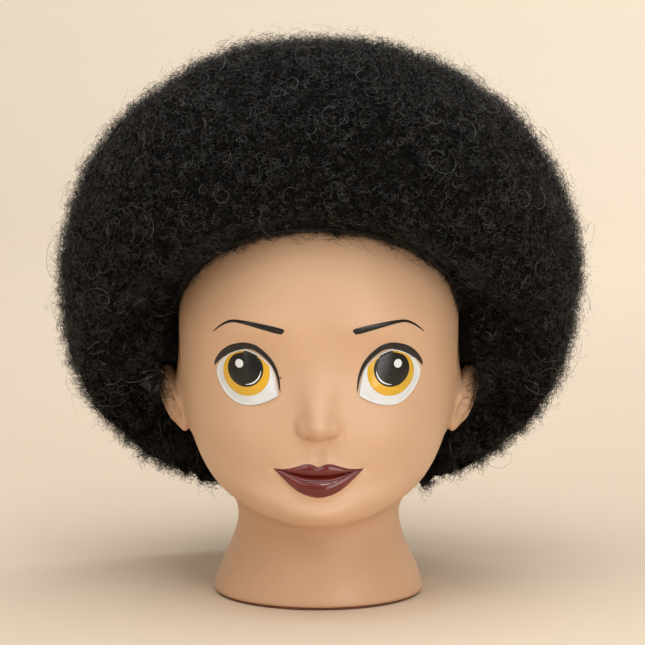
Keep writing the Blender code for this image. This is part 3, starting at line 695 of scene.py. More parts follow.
def build_eye_paint(side, word, eye, looks):
    tree = tree_of(eye)
    middle = np.array((EYE_X, EYE_Z))
    for name, centre, radius, margin, lift in (
        ("iris", IRIS_CENTRE, 11.2, 0.965, 0.05), ("pupil_edge", PUPIL_CENTRE, 8.6, 0.965, 0.09),
        ("pupil", PUPIL_CENTRE, 7.9, 0.94, 0.12),
    ):
        outline = inside_eye(centre, radius, margin)
        disc(f"{name}_{word}", middle + centre, outline, side, tree, lift, looks[f"{name}_paint"])
    paint = looks["highlight_paint"]
    disc(f"eye_dot_{word}", middle + PUPIL_CENTRE + (3.0, 2.4), circle(1.95, 2.1), side, tree, 0.16, paint, 4)
    turns = np.radians(np.linspace(9, -105, 40))
    thick = 0.56 * np.sin(np.linspace(0.02, 3.12, 40)) ** 0.7
    arc = np.stack([-7.35 * np.cos(turns), 7.35 * np.sin(turns), thick], -1)
    stroke(f"eye_crescent_{word}", arc, middle + PUPIL_CENTRE, side, tree, 0.16, paint, 70, 7)


def build_paint(head, base, looks):
    """The eyes, the lines round them, the brows, a speck of paint and the lips."""
    tree = tree_of(head)
    black = looks["black_paint"]
    for side, word in ((-1, "left"), (1, "right")):
        eye = build_eye(side, word, base, looks)
        build_eye_paint(side, word, eye, looks)
        stroke(f"lid_line_{word}", LID, (EYE_X, EYE_Z), side, tree_of(head, eye), 0.5, black, 90)
        stroke(f"brow_{word}", BROW, (0, 0), side, tree, 0.45, black, 90)
    disc("paint_speck", (18.0, 117.4), circle(0.42), -1, tree, 0.12, looks["pupil_edge_paint"], 3)
    build_lips(tree, looks)


def build_lips(tree, looks):
    """Two glossy lips, with painted shade along the parting where they meet and along the fold just under it.
    """
    across = np.linspace(-LIPS_HALF, LIPS_HALF, 121)
    places = np.abs(across)
    top, parting, low = (relaxed(np.interp(places, LIP_X, row), 6) for row in (LIP_TOP, PARTING, LIP_LOW))
    share = np.linspace(0, 1, 25)[None, :]
    for name, upper, lower in (("lip_upper", top, parting - 0.25), ("lip_lower", parting + 0.25, low)):
        z = upper[:, None] + (lower - upper)[:, None] * share
        paint_grid(name, across[:, None] + 0 * share, z, 1, tree, 0.22, looks["lip_paint"])
    # painted shade in the parting's groove and in the fold
    dark = looks["crease_shade_paint"]
    thick = 0.3 * np.clip(1 - (places / 21.6) ** 4, 0.1, 1)
    line = np.stack([across, parting, thick], -1)[3:-3]
    stroke("lip_parting", line, (0, 0), 1, tree, 0.3, dark, 120, 7)
    thin = 0.2 * np.clip(1 - (places / 17.6) ** 2, 0.1, 1)
    fold = np.stack([across, parting - 1.8, thin], -1)[places < 17.5]
    stroke("lip_fold", fold, (0, 0), 1, tree, 0.27, dark, 110, 5)


# ---- the wig
CAP_AIR, CAP_THICK = 1.4 * MM, 1.2 * MM
HAIRLINE_SIDE_Z, HAIRLINE_TOP_Z = 125 * MM, 185.5 * MM
HAIRLINE_SPAN = math.radians(80)
TEMPLE = math.radians(78)
EAR_CUT, EAR_CUT_Z = math.radians(84), 132 * MM
NAPE_START, NAPE_Z = math.radians(122), 107 * MM
BAND_WIDTH = 7.0 * MM
HAIR_CENTRE_Y = 20 * MM
HAIR_SQUARE = 2.15  # 2 would be an ellipse round each level
# height, half width, reach forwards and reach backwards, millimetres
HAIR_LEVELS = np.array((
    (36, 66, 60, 84), (52, 73, 82, 94), (60, 85, 92, 103), (81, 107.5, 106, 116), (111, 124.5, 115, 124),
    (143, 132.5, 120, 127.5), (172, 133.5, 123, 128), (210, 122, 121, 119), (241, 100, 104, 98),
    (265, 65, 70, 66), (275.5, 36, 39, 36), (279, 0, 0, 0),
))
HAIR_FRONT_Z, HAIR_SIDE_Z, HAIR_NAPE_Z = 197 * MM, 54 * MM, 38 * MM
HAIR_FRONT_SPAN, HAIR_LOW_SPAN = math.radians(98), math.radians(143)
BEHIND_EAR = math.radians(111)


def wig_levels():
    """The head's levels, none narrower than one above it."""
    levels = HEAD_LEVELS.copy()
    for column, lowest in ((0, True), (2, False), (5, False)):
        run = levels[::-1, column]
        run = np.minimum.accumulate(run) if lowest else np.maximum.accumulate(run)
        levels[:, column] = run[::-1]
    return levels


def folded(around):
    """An angle from the face, the same on both sides."""
    return np.abs(np.arctan2(np.sin(around), np.cos(around)))


def hairline_z(around):
    """The height of the wig's lower edge at an angle from the face: an arch, the ear cut, then the nape."""
    around = float(folded(around))
    if around <= EAR_CUT:
        share = math.cos(0.5 * math.pi * min(around, TEMPLE) / HAIRLINE_SPAN) ** 0.8
        arch = HAIRLINE_SIDE_Z + (HAIRLINE_TOP_Z - HAIRLINE_SIDE_Z) * share
        return arch + (EAR_CUT_Z - arch) * max(0.0, (around - TEMPLE) / (EAR_CUT - TEMPLE))
    share = min(1.0, max(0.0, (around - math.radians(100)) / (NAPE_START - math.radians(100))))
    return EAR_CUT_Z + (NAPE_Z - EAR_CUT_Z) * share * share * (3 - 2 * share)


class Scalp:
    """The wig's own surface: the head made to widen downwards. Places are counted up from the wig's edge."""

    LEVELS = wig_levels()
    TABLE = np.linspace(7, 18, 220)
    POLE = 17.9  # past this level every way off the scalp is up

    @classmethod
    def meridian(cls, around):
        return head_surface(cls.LEVELS, np.full_like(cls.TABLE, around), cls.TABLE)

    @classmethod
    def point(cls, around, up, lift):
        """A point up the scalp from the edge, lifted off it."""
        line = cls.meridian(around)
        run = np.concatenate([[0], np.cumsum(np.linalg.norm(np.diff(line, axis=0), axis=1))])
        start = float(np.interp(hairline_z(around), line[:, 2], run))
        return cls.lifted(around, float(np.interp(start + up, run, cls.TABLE)), lift)

    @classmethod
    def between(cls, around, low_z, share, lift):
        """A point some share of the way from a height to the crown."""
        low = float(np.interp(low_z, cls.meridian(around)[:, 2], cls.TABLE))
        return cls.lifted(around, low + (cls.TABLE[-1] - low) * share, lift)

    @classmethod
    def lifted(cls, around, level, lift):
        here = head_surface(cls.LEVELS, np.array([around]), np.array([level]))[0]
        if level > cls.POLE:
            return here + np.array((0, 0, lift))
        side = head_surface(cls.LEVELS, np.array([around + 0.02]), np.array([level]))[0]
        up = head_surface(cls.LEVELS, np.array([around]), np.array([level + 0.05]))[0]
        away = np.cross(side - here, up - here)
        return here + away / np.linalg.norm(away) * lift


def build_front_band(looks):
    """The folded elastic edge along the hairline, with rounded corners."""
    outer = CAP_AIR + CAP_THICK
    section = [
        (0.0, CAP_AIR + 0.3 * MM), (0.35 * MM, CAP_AIR), (BAND_WIDTH - 0.3 * MM, CAP_AIR),
        (BAND_WIDTH, CAP_AIR + 0.3 * MM), (BAND_WIDTH, outer - 0.2 * MM), (BAND_WIDTH - 0.3 * MM, outer),
        (0.9 * MM, outer), (0.3 * MM, outer - 0.15 * MM), (0.0, outer - 0.5 * MM),
    ]
    angles = np.linspace(-TEMPLE, TEMPLE, 181)
    rings = [[Scalp.point(a, up, lift) for up, lift in section] for a in angles]
    band = ringed("hairline_band", rings, looks["ribbed_elastic"], "wig")
    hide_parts("front_band")


def hair_size(z):
    """Half width, reach forwards and reach backwards of the hair at a height."""
    place = np.interp(z, HAIR_LEVELS[:, 0] * MM, np.arange(len(HAIR_LEVELS)))
    row = through(HAIR_LEVELS, place) * MM
    return np.maximum(row[..., 1], 1e-6), np.maximum(row[..., 2], 1e-6), np.maximum(row[..., 3], 1e-6)


def hair_point(around, z, inset=0.0):
    """The outside of the hair at a height, in a direction from the hair's own middle."""
    wide, front, back = hair_size(z)
    sine, cosine = np.sin(around), np.cos(around)
    reach = np.where(cosine > 0, front, back)
    spread = (np.abs(sine) / wide) ** HAIR_SQUARE + (np.abs(cosine) / reach) ** HAIR_SQUARE
    radius = np.maximum(spread ** (-1 / HAIR_SQUARE) - inset, 0)
    return np.stack([radius * sine, HAIR_CENTRE_Y + NECK_Y - radius * cosine, z + 0 * around], -1)


def hair_outer_z(around):
    """The lower edge of the hair's outside."""
    around = float(folded(around))
    if around < HAIR_FRONT_SPAN:
        share = math.cos(0.5 * math.pi * around / HAIR_FRONT_SPAN)
        return HAIR_SIDE_Z + (HAIR_FRONT_Z - HAIR_SIDE_Z) * share
    low = float(smooth_step(HAIR_FRONT_SPAN, HAIR_LOW_SPAN, around))
    return HAIR_SIDE_Z + (HAIR_NAPE_Z - HAIR_SIDE_Z) * low


# height and how far the dark depth of the hair lies inside its outline, millimetres
CORE_INSET = ((40, 0.8), (70, 0.8), (95, 2.2), (150, 4.8), (200, 5.8), (240, 5.4), (262, 4.4), (280, 4.4))
HUG_START, HUG_END = 66.2, 69.0  # degrees: hair that lies on the skin in front of each ear tab
OVER_TAB = 69.9
HANG_Z = 118 * MM  # the hair's lower edge over the tabs and the ears
NAPE_ROOM = 2.6 * MM  # more air under the hair at the nape, where the strap hooks slide


def core_angles():
    """Round the head, closer together at the temples."""
    even = np.arange(-180, 180, 3.0)
    close = np.concatenate([np.arange(63.5, HUG_END, 0.6), (HUG_END, 69.4, OVER_TAB, 70.6, 71.4)])
    every = np.concatenate([even[(np.abs(even) < 63) | (np.abs(even) > 71.5)], close, -close])
    return np.radians(np.sort(every))


def core_edge_z(around):
    """The height of the hair's inner edge: along the band, over the tabs and the ears, then hanging."""
    turn = float(folded(around))
    band = hairline_z(min(turn, EAR_CUT)) + 0.4 * MM
    share = float(smooth_step(math.radians(HUG_START), math.radians(68.6), turn))
    edge = band + (HANG_Z - band) * share
    behind = float(smooth_step(math.radians(99), BEHIND_EAR, turn))
    return edge + (HAIR_SIDE_Z - edge) * behind


def core_lift(around, above):
    """How far the hair's inside stands off the scalp, a share of the way up from the hairline or below it."""
    turn = math.degrees(float(folded(around)))
    over_tab = float(smooth_step(HUG_END, OVER_TAB, turn))
    nape_room = NAPE_ROOM * float(smooth_step(136, 148, turn))
    behind_ear = float(smooth_step(100, 110, turn))
    at_edge = 3.0 * MM + 1.2 * MM * over_tab + 1.4 * MM * behind_ear + nape_room
    if above < 0:
        hugging = float(smooth_step(HUG_START - 0.3, HUG_START + 0.6, turn)) * (1 - over_tab)
        return at_edge + (0.5 * MM - at_edge) * hugging
    return at_edge + (5.6 * MM + nape_room - at_edge) * float(smooth_step(0.02, 0.12, above))


def core_inset(z):
    """How far the core lies inside the hair's outline at a height."""
    heights, insets = np.transpose(CORE_INSET) * MM
    return np.interp(z, heights, insets)


def lumps(around, z):
    """Uneven growth: how far the hair bulges at a place."""
    wavy = 0.8 * np.sin(5 * around + 0.9) * np.sin(48 * z + 0.7) + 0.7 * np.sin(9 * around + 2.1 + 60 * z)
    small = 0.6 * np.sin(16 * around + 140 * z + 0.4) + 0.5 * np.sin(27 * around - 190 * z)
    return (wavy + small * (1 + 1.6 * smooth_step(0.115, 0.07, z))) * MM


def rim_lumps(around):
    """How the hair's lower edge rises and falls beside and behind the ears."""
    behind = smooth_step(math.radians(88), math.radians(104), folded(around))
    return (1.5 * np.sin(21 * around + 0.5) + 1.3 * np.sin(34 * around + 2.0)) * MM * behind


def core_inside(angles):
    """From the crown's inside down to the hairline, then down the skirt to the edge."""
    edges = [core_edge_z(a) for a in angles]
    tops = [max(e, hairline_z(a) + 0.4 * MM) for a, e in zip(angles, edges)]
    rings = []
    for share in (0.985, 0.94, 0.87, 0.78, 0.68, 0.57, 0.46, 0.34, 0.22, 0.12, 0.05, 0):
        rings.append([Scalp.between(a, z, share, core_lift(a, share)) for a, z in zip(angles, tops)])
    for share in (0.97, 0.7, 0.35, 0):
        lows = [e + (max(0.0, t - 0.9 * MM - e)) * share for e, t in zip(edges, tops)]
        rings.append([Scalp.between(a, z, 0, core_lift(a, -1)) for a, z in zip(angles, lows)])
    return rings


def core_rings():
    """The dark depth of the hair: its inside, the rim, and up the outside."""
    angles = core_angles()
    rings = core_inside(angles)
    inside = np.array(rings[-1])
    low = np.array([hair_outer_z(a) for a in angles]) + rim_lumps(angles)
    outside = np.array([hair_point(a, z, core_inset(z)) for a, z in zip(angles, low)])
    for share in (0.12, 0.3, 0.5, 0.7, 0.85, 0.94, 0.985):
        rim = inside + (outside - inside) * share
        rise = 1.2 * MM * smooth_step(0.8, 1.0, share)
        rim[:, 2] = inside[:, 2] + (outside[:, 2] - inside[:, 2]) * share**1.7 + rise
        rings.append(rim)
    top = HAIR_LEVELS[-1][0] * MM
    for share in np.concatenate([[0.015], np.linspace(0.04, 0.985, 40)]):
        z = low + 1.6 * MM + (top - low - 1.6 * MM) * math.sin(0.5 * math.pi * share)
        upwards = 0.5 * math.pi * float(smooth_step(0.35, 1.0, share))
        inset, sink = core_inset(z) * math.cos(upwards), core_inset(z) * math.sin(upwards)
        ring = np.array([hair_point(a, b, i) for a, b, i in zip(angles, z, inset)])
        ring[:, 2] -= sink
        middle = ring.mean(axis=0)
        away = unit((ring - middle) * (1, 1, 0))
        ring += away * (lumps(angles, z) * min(1.0, 3 * (1 - share)))[:, None]
        ring[:, 0] += 1.2 * MM * smooth_step(0.1, 0.4, share) * (1 - smooth_step(0.6, 0.9, share))
        rings.append(ring)
    return np.array([np.array(r) for r in rings])


def build_core(looks):
    """The dark mass that the strands grow out of."""
    core = ringed("hair_core", core_rings(), looks["hair_depth"], "wig")
    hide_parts("hair_mass")
    return core


# ---- hair strands
STRANDS = 64000
FLYAWAYS = 2600
TUFTS = 180
RINGS = 700
FUZZ = 7000
WISPS = 2000
STRAYS = 460
EAR_CURLS = 760
PER_PIECE = 4200  # strands in one mesh
PER_TUFT = 60
STEPS_PER_SET = 90000  # keeps each mesh of tufts or fuzz light
SEED = 20240611
# colour and roughness of each shade of fibre; the last one is much paler, a painted highlight for the looped
# hairs
FIBRES = (
    ((0.0040, 0.0038, 0.0037), 0.42), ((0.0072, 0.0067, 0.0063), 0.34), ((0.0125, 0.0116, 0.0106), 0.38),
    ((0.075, 0.072, 0.068), 0.3),
)
CAP_MIDDLE, CAP_REACH, CAP_LOW_Z = (0, NECK_Y + 5 * MM, 0.13), (0.080, 0.104, 0.104), 0.115
HIDDEN = 0.02  # how thickly strands grow where the cap hides them, against 1 elsewhere


class Roots:
    """Places spread evenly over the hair's depth, with the way out of it at each."""

    def __init__(self, core, rng):
        mesh = core.data
        mesh.calc_loop_triangles()
        corners = np.empty(len(mesh.loop_triangles) * 3, int)
        mesh.loop_triangles.foreach_get("vertices", corners)
        points = np.empty(len(mesh.vertices) * 3)
        mesh.vertices.foreach_get("co", points)
        self.corners = points.reshape(-1, 3)[corners.reshape(-1, 3)]
        cross = np.cross(self.corners[:, 1] - self.corners[:, 0], self.corners[:, 2] - self.corners[:, 0])
        size = np.linalg.norm(cross, axis=1)
        self.normals = cross / np.maximum(size, 1e-12)[:, None]
        middle = self.corners.mean(axis=1)
        self.weight = size * np.where(inside_wig(middle), HIDDEN, 1.0)
        self.rng = rng

    def pick(self, count, wanted=None):
        """Roots, and the ways out at them, over all of the hair or where it is wanted."""
        weight = self.weight
        if wanted:
            weight = weight * wanted(self.corners.mean(axis=1))
        chosen = self.rng.choice(len(weight), count, p=weight / weight.sum())
        share = self.rng.random((count, 2))
        share = np.where(share.sum(axis=1, keepdims=True) > 1, 1 - share, share)
        a, b, c = self.corners[chosen].transpose(1, 0, 2)
        return a + (b - a) * share[:, :1] + (c - a) * share[:, 1:], self.normals[chosen]


def inside_wig(points):
    """Which points lie against the cap, where no strand can be seen."""
    away = (points - CAP_MIDDLE) / CAP_REACH
    return ((away**2).sum(axis=1) < 1) & (points[:, 2] > CAP_LOW_Z)


def unit(v):
    """Each vector, 1 long."""
    return v / np.maximum(np.linalg.norm(v, axis=-1, keepdims=True), 1e-12)


def curls(rng, root, out, length, radius, turns, segments, lean, width):
    """Ribbons that curl along a line out of each root. Gives points shaped strand, step, side, xyz.

    Length, radius and width are in millimetres. Each is a value for every root or the two ends of a range.
    """
    count = len(root)
    length, radius, turns, lean, width = (
        (rng.uniform(*value, count) if isinstance(value, tuple) else value)[:, None, None]
        for value in (length, radius, turns, lean, width)
    )
    length, radius, width = length * MM, radius * MM, width * MM
    side = unit(np.cross(out, unit(rng.normal(size=(count, 3)))))
    across = np.cross(out, side)
    axis = unit(out * (1 - lean[:, 0]) + side * lean[:, 0])
    first = unit(np.cross(axis, across))
    second = np.cross(axis, first)
    s = np.linspace(0, 1, segments + 1)[None, :, None]
    bend = rng.normal(scale=0.35, size=(count, 1, 1)) * length
    line = root[:, None] + axis[:, None] * length * s + across[:, None] * bend * s**2
    start = rng.uniform(0, 2 * math.pi, (count, 1, 1))
    phase = start + 2 * math.pi * turns * s
    swell = radius * (0.55 + 0.45 * s)
    radial = first[:, None] * np.cos(phase) + second[:, None] * np.sin(phase)
    foot = first[:, None] * np.cos(start) + second[:, None] * np.sin(start)
    line = line + radial * swell - foot * swell[:, :1]
    tilt = rng.uniform(0, math.pi, (count, 1, 1))
    flat = unit(radial * np.cos(tilt) + axis[:, None] * np.sin(tilt))
    thin = width * (1 - 0.6 * s**2) * 0.5
    return np.stack([line - flat * thin, line + flat * thin], axis=2)


def ribbon_sets(name, points, look):
    """Ribbons in as many meshes as keep each one light."""
    each = STEPS_PER_SET // points.shape[1]
    for number, start in enumerate(range(0, len(points), each), 1):
        ribbons(f"{name}_{number}", points[start : start + each], look)


def ribbons(name, points, look):
    """One mesh of many ribbons."""
    count, steps = points.shape[:2]
    flat = points.reshape(-1, 3)
    base = (np.arange(count)[:, None] * steps + np.arange(steps - 1)[None, :]).ravel() * 2
    quads = np.stack([base, base + 1, base + 3, base + 2], -1)
    mesh = bpy.data.meshes.new(name)
    mesh.vertices.add(len(flat))
    mesh.vertices.foreach_set("co", flat.ravel())
    mesh.loops.add(quads.size)
    mesh.loops.foreach_set("vertex_index", quads.ravel())
    mesh.polygons.add(len(quads))
    mesh.polygons.foreach_set("loop_start", np.arange(len(quads)) * 4)
    mesh.polygons.foreach_set("loop_total", np.full(len(quads), 4))
    mesh.update(calc_edges=True)
    mesh.shade_smooth()
    mesh.materials.append(look)
    made = placed(name, mesh)
    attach(made, "wig")


def fibre_look(name, colour, roughness):
    """One shade of hair, plain because a strand is too thin to show more."""
    look = Look(name, roughness)
    look.set({"Base Color": (*colour, 1)})
    return look.made


def edge_closeness(root):
    """1 well away from the hairline and the ears, falling towards them, where the hair lies down."""
    ahead = np.clip(-(root[:, 1] - NECK_Y) / (85 * MM), 0, 1)
    x, z = root[:, 0] / (67 * MM), root[:, 2]
    arch = HAIRLINE_SIDE_Z + (HAIRLINE_TOP_Z - HAIRLINE_SIDE_Z) * np.sqrt(np.clip(1 - x * x, 0, 1))
    away = (z - arch) / (16 * MM) + np.clip(np.abs(root[:, 0]) - 70 * MM, 0, 1) / (12 * MM)
    near_ear = np.hypot((root[:, 1] - NECK_Y - 4 * MM) / (26 * MM), (z - 0.106) / (18 * MM))
    beside = np.where(np.abs(root[:, 0]) < 90 * MM, np.clip(near_ear**2, 0.25, 1), 1.0)
    return np.where(ahead > 0.2, np.clip(away, 0.3, 1), 1.0) * beside


def build_strands(core, head):
    """All the hair: each kind takes its random draws in turn, so their order matters."""
    rng = np.random.default_rng(SEED)
    roots = Roots(core, rng)
    shades = [fibre_look(f"hair_fibre_{i}", *fibre) for i, fibre in enumerate(FIBRES)]
    for number, start in enumerate(range(0, STRANDS, PER_PIECE), 1):
        count = min(PER_PIECE, STRANDS - start)
        root, out = roots.pick(count)
        short = edge_closeness(root)
        points = curls(
            rng, root - out * 2.0 * MM, out, length=rng.uniform(4.2, 8.8, count) * short,
            radius=rng.gamma(4.0, 0.32, count).clip(0.5, 2.6) * (0.5 + 0.5 * short), turns=(1.2, 2.9),
            segments=20, lean=(0.0, 0.72), width=(0.17, 0.29),
        )
        ribbons(f"hair_strands_{number:02d}", points, shades[number % 3])
    build_flyaways(rng, roots, shades)
    build_tufts(rng, roots, shades)
    build_rings(rng, roots, shades)
    tree = tree_of(head)
    build_fuzz(rng, shades)
    build_wisps(rng, tree, shades)
    build_strays(rng, tree, shades)
    build_ear_curls(rng, roots, tree, shades)


def build_flyaways(rng, roots, shades):
    """Fine single hairs that stand out past the rest."""
    root, out = roots.pick(FLYAWAYS)
    points = curls(
        rng, root + out * 1.0 * MM, out, length=rng.uniform(5.5, 12, FLYAWAYS) * edge_closeness(root),
        radius=(0.6, 2.6), turns=(0.6, 2.2), segments=26, lean=(0, 0.6), width=(0.09, 0.15),
    )
    ribbons("hair_flyaways", points, shades[0])


def build_tufts(rng, roots, shades):
    """Bushy tufts round the lower rim, each of curls that share a direction."""
    place, out = roots.pick(TUFTS, lower_rim)
    root = np.repeat(place, PER_TUFT, 0) + rng.normal(scale=1.7 * MM, size=(TUFTS * PER_TUFT, 3))
    aim = unit(np.repeat(unit(out + rng.normal(scale=0.35, size=out.shape)), PER_TUFT, 0)
               + rng.normal(scale=0.3, size=root.shape))
    points = curls(
        rng, root - aim * 2.0 * MM, aim, length=rng.uniform(3, 8.5, len(root)),
        radius=rng.gamma(4.0, 0.26, len(root)).clip(0.4, 2.2), turns=(1.2, 2.9), segments=20,
        lean=(0.0, 0.4), width=(0.18, 0.28),
    )
    ribbon_sets("hair_tufts", points, shades[0])


def lower_rim(middle):
    """Which parts of the hair lie round its lower edge, off the face."""
    away = np.hypot(middle[:, 0], middle[:, 1] - NECK_Y - HAIR_CENTRE_Y) / MM
    return (middle[:, 2] < 88 * MM) & (away > 52) & (middle[:, 1] > NECK_Y - 5 * MM)


def build_rings(rng, roots, shades):
    """Single hairs in wide open loops that lie on the outside of the hair, in the pale fibre: a painted
    highlight.
    """
    root, out = roots.pick(RINGS)
    size = rng.gamma(4.0, 1.3, RINGS).clip(2.2, 12.0)
    points = curls(
        rng, root + out * rng.uniform(4.5, 7.5, (RINGS, 1)) * MM, out, length=(0.3, 2.5), radius=size,
        turns=(0.3, 1.1), segments=44, lean=(0, 0.35), width=(0.14, 0.22),
    )
    # the pale fibre is painted highlight on black hair
    ribbons("hair_rings", points, shades[3])


def hug(points, tree, low, high):
    """Moves points to between low and high off the surface nearest to them."""
    flat = points.reshape(-1, 3)
    for i, point in enumerate(flat):
        place, normal = tree.find_nearest(Vector(point))[:2]
        off = (Vector(point) - place).dot(normal)
        if not low <= off <= high:
            flat[i] = place + normal * min(max(off, low), high)
    return points


def build_fuzz(rng, shades):
    """Short curls all over the band, so that the hair runs down to the wig's edge."""
    around = rng.uniform(-TEMPLE, TEMPLE, FUZZ)
    up = rng.uniform(0.2 * MM, BAND_WIDTH, FUZZ)
    root = np.array([Scalp.point(a, b, CAP_AIR + CAP_THICK - 0.2 * MM) for a, b in zip(around, up)])
    away = np.array([Scalp.point(a, b, 9 * MM) for a, b in zip(around, up)])
    points = curls(
        rng, root, unit(away - root), length=(1.4, 4.4), radius=(0.5, 1.5), turns=(0.8, 1.8), segments=16,
        lean=(0.2, 0.9), width=(0.13, 0.20),
    )
    ribbon_sets("hairline_fuzz", points, shades[2])


def hanging(around, sideways, forwards):
    """The way down from the hairline at each angle, a little outwards."""
    return unit(np.stack([-sideways * np.sin(around), -forwards - 0 * around, -1 + 0 * around], -1))


def build_wisps(rng, tree, shades):
    """Fine short curls that lie on the skin along the wig's edge."""
    around = rng.uniform(-1.19, 1.19, WISPS)
    up = rng.uniform(-0.2, 1.2, WISPS) * MM
    root = np.array([Scalp.point(a, b, CAP_AIR) for a, b in zip(around, up)])
    points = curls(
        rng, root, hanging(around, 0.4, 0.2), length=rng.gamma(2.0, 0.7, WISPS).clip(0.5, 3.6),
        radius=(0.3, 0.9), turns=(0.6, 1.6), segments=14, lean=(0.0, 0.7), width=(0.08, 0.14),
    )
    ribbons("hairline_wisps", hug(points, tree, 0.2 * MM, 1.6 * MM), shades[1])


STRAY_CLUMPS = np.radians((-66, -57, -44, -29, -12, 3, 9, 24, 41, 58, 63, 66))


def build_strays(rng, tree, shades):
    """Clumps of fine stray curls from the wig's edge down over the forehead and the temples."""
    around = STRAY_CLUMPS[rng.integers(len(STRAY_CLUMPS), size=STRAYS)] + rng.normal(scale=0.07, size=STRAYS)
    root = np.array([Scalp.point(a, 0.5 * MM, CAP_AIR) for a in around])
    points = curls(
        rng, root, hanging(around, 0.5, 0.15), length=rng.gamma(2.0, 1.6, STRAYS).clip(1.0, 8.5),
        radius=(0.8, 3.3), turns=(0.7, 1.6), segments=28, lean=(0.0, 0.6), width=(0.20, 0.28),
    )
    ribbons("hairline_strays", hug(points, tree, 0.25 * MM, 2.5 * MM), shades[1])


def beside_ears(middle):
    """Which parts of the hair lie beside the ears."""
    across, ahead = np.abs(middle[:, 0]) / MM, (middle[:, 1] - NECK_Y) / MM
    high = middle[:, 2] / MM
    return (across > 74) & (across < 95) & (high > 92) & (high < 125) & (np.abs(ahead - 2) < 24)


def build_ear_curls(rng, roots, tree, shades):
    """Curls that reach from the hair over the outer half of each ear."""
    root, _ = roots.pick(EAR_CURLS, beside_ears)
    aim = np.stack([
        np.sign(root[:, 0]) * rng.triangular(74, 81, 83, EAR_CURLS) * MM,
        NECK_Y + rng.uniform(-3, 7, EAR_CURLS) * MM, rng.triangular(88, 102, 112, EAR_CURLS) * MM,
    ], -1)
    reach = np.linalg.norm(aim - root, axis=1) / MM
    points = curls(
        rng, root, unit(aim - root), length=reach * rng.uniform(0.7, 1.05, EAR_CURLS), radius=(0.7, 1.9),
        turns=(1.2, 2.6), segments=30, lean=(0.0, 0.25), width=(0.18, 0.28),
    )
    ribbons("ear_curls", hug(points, tree, 0.25 * MM, 12 * MM), shades[1])


# ---- the studio
HEAD_MIDDLE = (0.0, NECK_Y, 0.13)
FLOOR_Z = -0.0002
# distance from the middle and height of a round sweep: a floor that curves up into a wall
SWEEP = (
    (0.5, 0.0), (1.0, 0.0), (1.6, 0.0), (2.3, 0.0), (2.6, 0.02), (2.9, 0.1), (3.2, 0.27), (3.45, 0.52),
    (3.62, 0.85), (3.7, 1.3), (3.72, 1.9), (3.72, 2.6),
)
SWEEP_SIDES = 96
# place, width, height, watts and where it faces
LAMPS = {
    "key_softbox": ((0.70, -1.36, 0.50), 0.8, 1.2, 9.4, HEAD_MIDDLE),
    "fill_softbox": ((-0.80, -1.25, 1.10), 0.9, 0.7, 4.2, HEAD_MIDDLE),
    "front_softbox": ((0.10, -0.98, 1.12), 0.16, 0.1, 0.8, HEAD_MIDDLE),
    "left_strip": ((-1.05, -0.75, 0.36), 0.16, 0.4, 0.6, HEAD_MIDDLE),
    "right_strip": ((0.95, -0.85, 0.34), 0.16, 0.4, 0.6, HEAD_MIDDLE),
    "top_softbox": ((0.0, -0.35, 1.6), 1.9, 1.3, 15.0, HEAD_MIDDLE),
    "wall_softbox": ((1.1, 1.3, 2.3), 2.2, 0.8, 48.0, (0.3, 3.5, 0.7)),
}
SKY_COLOUR, SKY_STRENGTH = (1.0, 0.985, 0.96, 1), 0.29
CAMERA_PLACE, CAMERA_TILT = (0, NECK_Y - 1.3, 0.274), 6.1  # degrees downwards
CAMERA_LENS, CAMERA_SENSOR, CAMERA_SHIFT = 145.95, 36.0, 0.00605


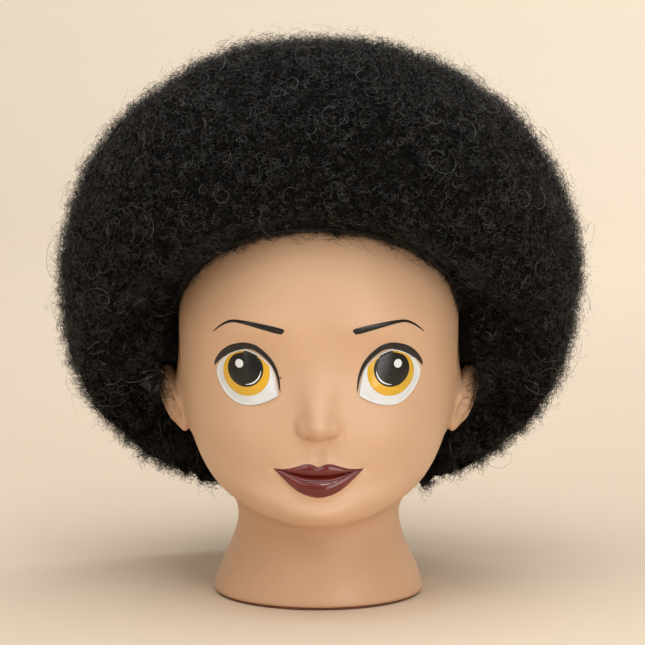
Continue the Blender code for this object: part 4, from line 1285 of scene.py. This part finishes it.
def build_sweep():
    """A pale backdrop, a little paler towards the back: painted light on the wall behind the head."""
    look = Look("studio_sweep", 0.9)
    # paler towards the back wall: painted light
    look.shade("Base Color", look.ramp(look.along("Y", -0.4, 3.2), (
        (0.0, (0.82, 0.69, 0.54)), (0.12, (0.82, 0.69, 0.54)), (0.5, (0.85, 0.74, 0.60)),
        (1.0, (0.88, 0.79, 0.66)),
    )))
    turns = np.linspace(0, 2 * math.pi, SWEEP_SIDES, endpoint=False)
    points = [(r * math.cos(a), r * math.sin(a), z + FLOOR_Z) for r, z in SWEEP for a in turns]
    faces = tube_faces(len(SWEEP), SWEEP_SIDES)
    points.append((0, 0, FLOOR_Z))
    faces += [((i + 1) % SWEEP_SIDES, i, len(points) - 1) for i in range(SWEEP_SIDES)]
    mesh = bpy.data.meshes.new("studio_sweep")
    mesh.from_pydata(points, [], faces)
    mesh.shade_smooth()
    mesh.materials.append(look.made)
    sweep = placed("studio_sweep", mesh)


def build_lamps():
    """Softboxes, each facing its target, and an even sky."""
    for name, (place, wide, high, power, target) in LAMPS.items():
        data = bpy.data.lights.new(name, "AREA")
        data.shape = "RECTANGLE"
        data.size, data.size_y = wide, high
        data.energy = power
        made = placed(name, data)
        made.location = place
        made.rotation_euler = (Vector(target) - Vector(place)).to_track_quat("-Z", "Y").to_euler()
        made.visible_camera = False
    world = bpy.data.worlds.new("studio")
    world.use_nodes = True
    sky = world.node_tree.nodes["Background"]
    sky.inputs["Color"].default_value = SKY_COLOUR
    sky.inputs["Strength"].default_value = SKY_STRENGTH
    bpy.context.scene.world = world
    bpy.context.scene.view_settings.view_transform = "Standard"


def build_camera():
    data = bpy.data.cameras.new("camera")
    data.sensor_width = CAMERA_SENSOR
    data.lens = CAMERA_LENS
    data.shift_x = CAMERA_SHIFT
    made = placed("camera", data)
    made.location = CAMERA_PLACE
    made.rotation_euler = (math.radians(90 - CAMERA_TILT), 0, 0)
    bpy.context.scene.camera = made


# how the name of a carried-over node begins, and its finished material
NODE_LOOKS = (
    ("neck_plug", "moulded_plastic"), ("neck_pad", "foam_rubber"), ("wig_cap", "net_cloth"),
    ("nape_band", "ribbed_elastic"), ("weft", "weft_thread_cloth"), ("ear_tab", "tab_felt_cloth"),
    ("tab_stay", "spring_steel"), ("strap_hook", "spring_steel"), ("strap", "ribbed_elastic"),
)


def dress_nodes(looks):
    """Gives each carried-over CAD node its finished material."""
    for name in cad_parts:
        wanted = next((look for start, look in NODE_LOOKS if name.startswith(start)), None)
        if wanted:
            materials = bpy.data.objects[name].data.materials
            materials.clear()
            materials.append(looks[wanted])


LOOKS = build_looks()
build_camera()
build_sweep()
build_lamps()
dress_nodes(LOOKS)
HEAD = build_head(LOOKS)
build_paint(HEAD, eye_base(tree_of(HEAD)), LOOKS)
build_front_band(LOOKS)
CORE = build_core(LOOKS)
build_strands(CORE, HEAD)
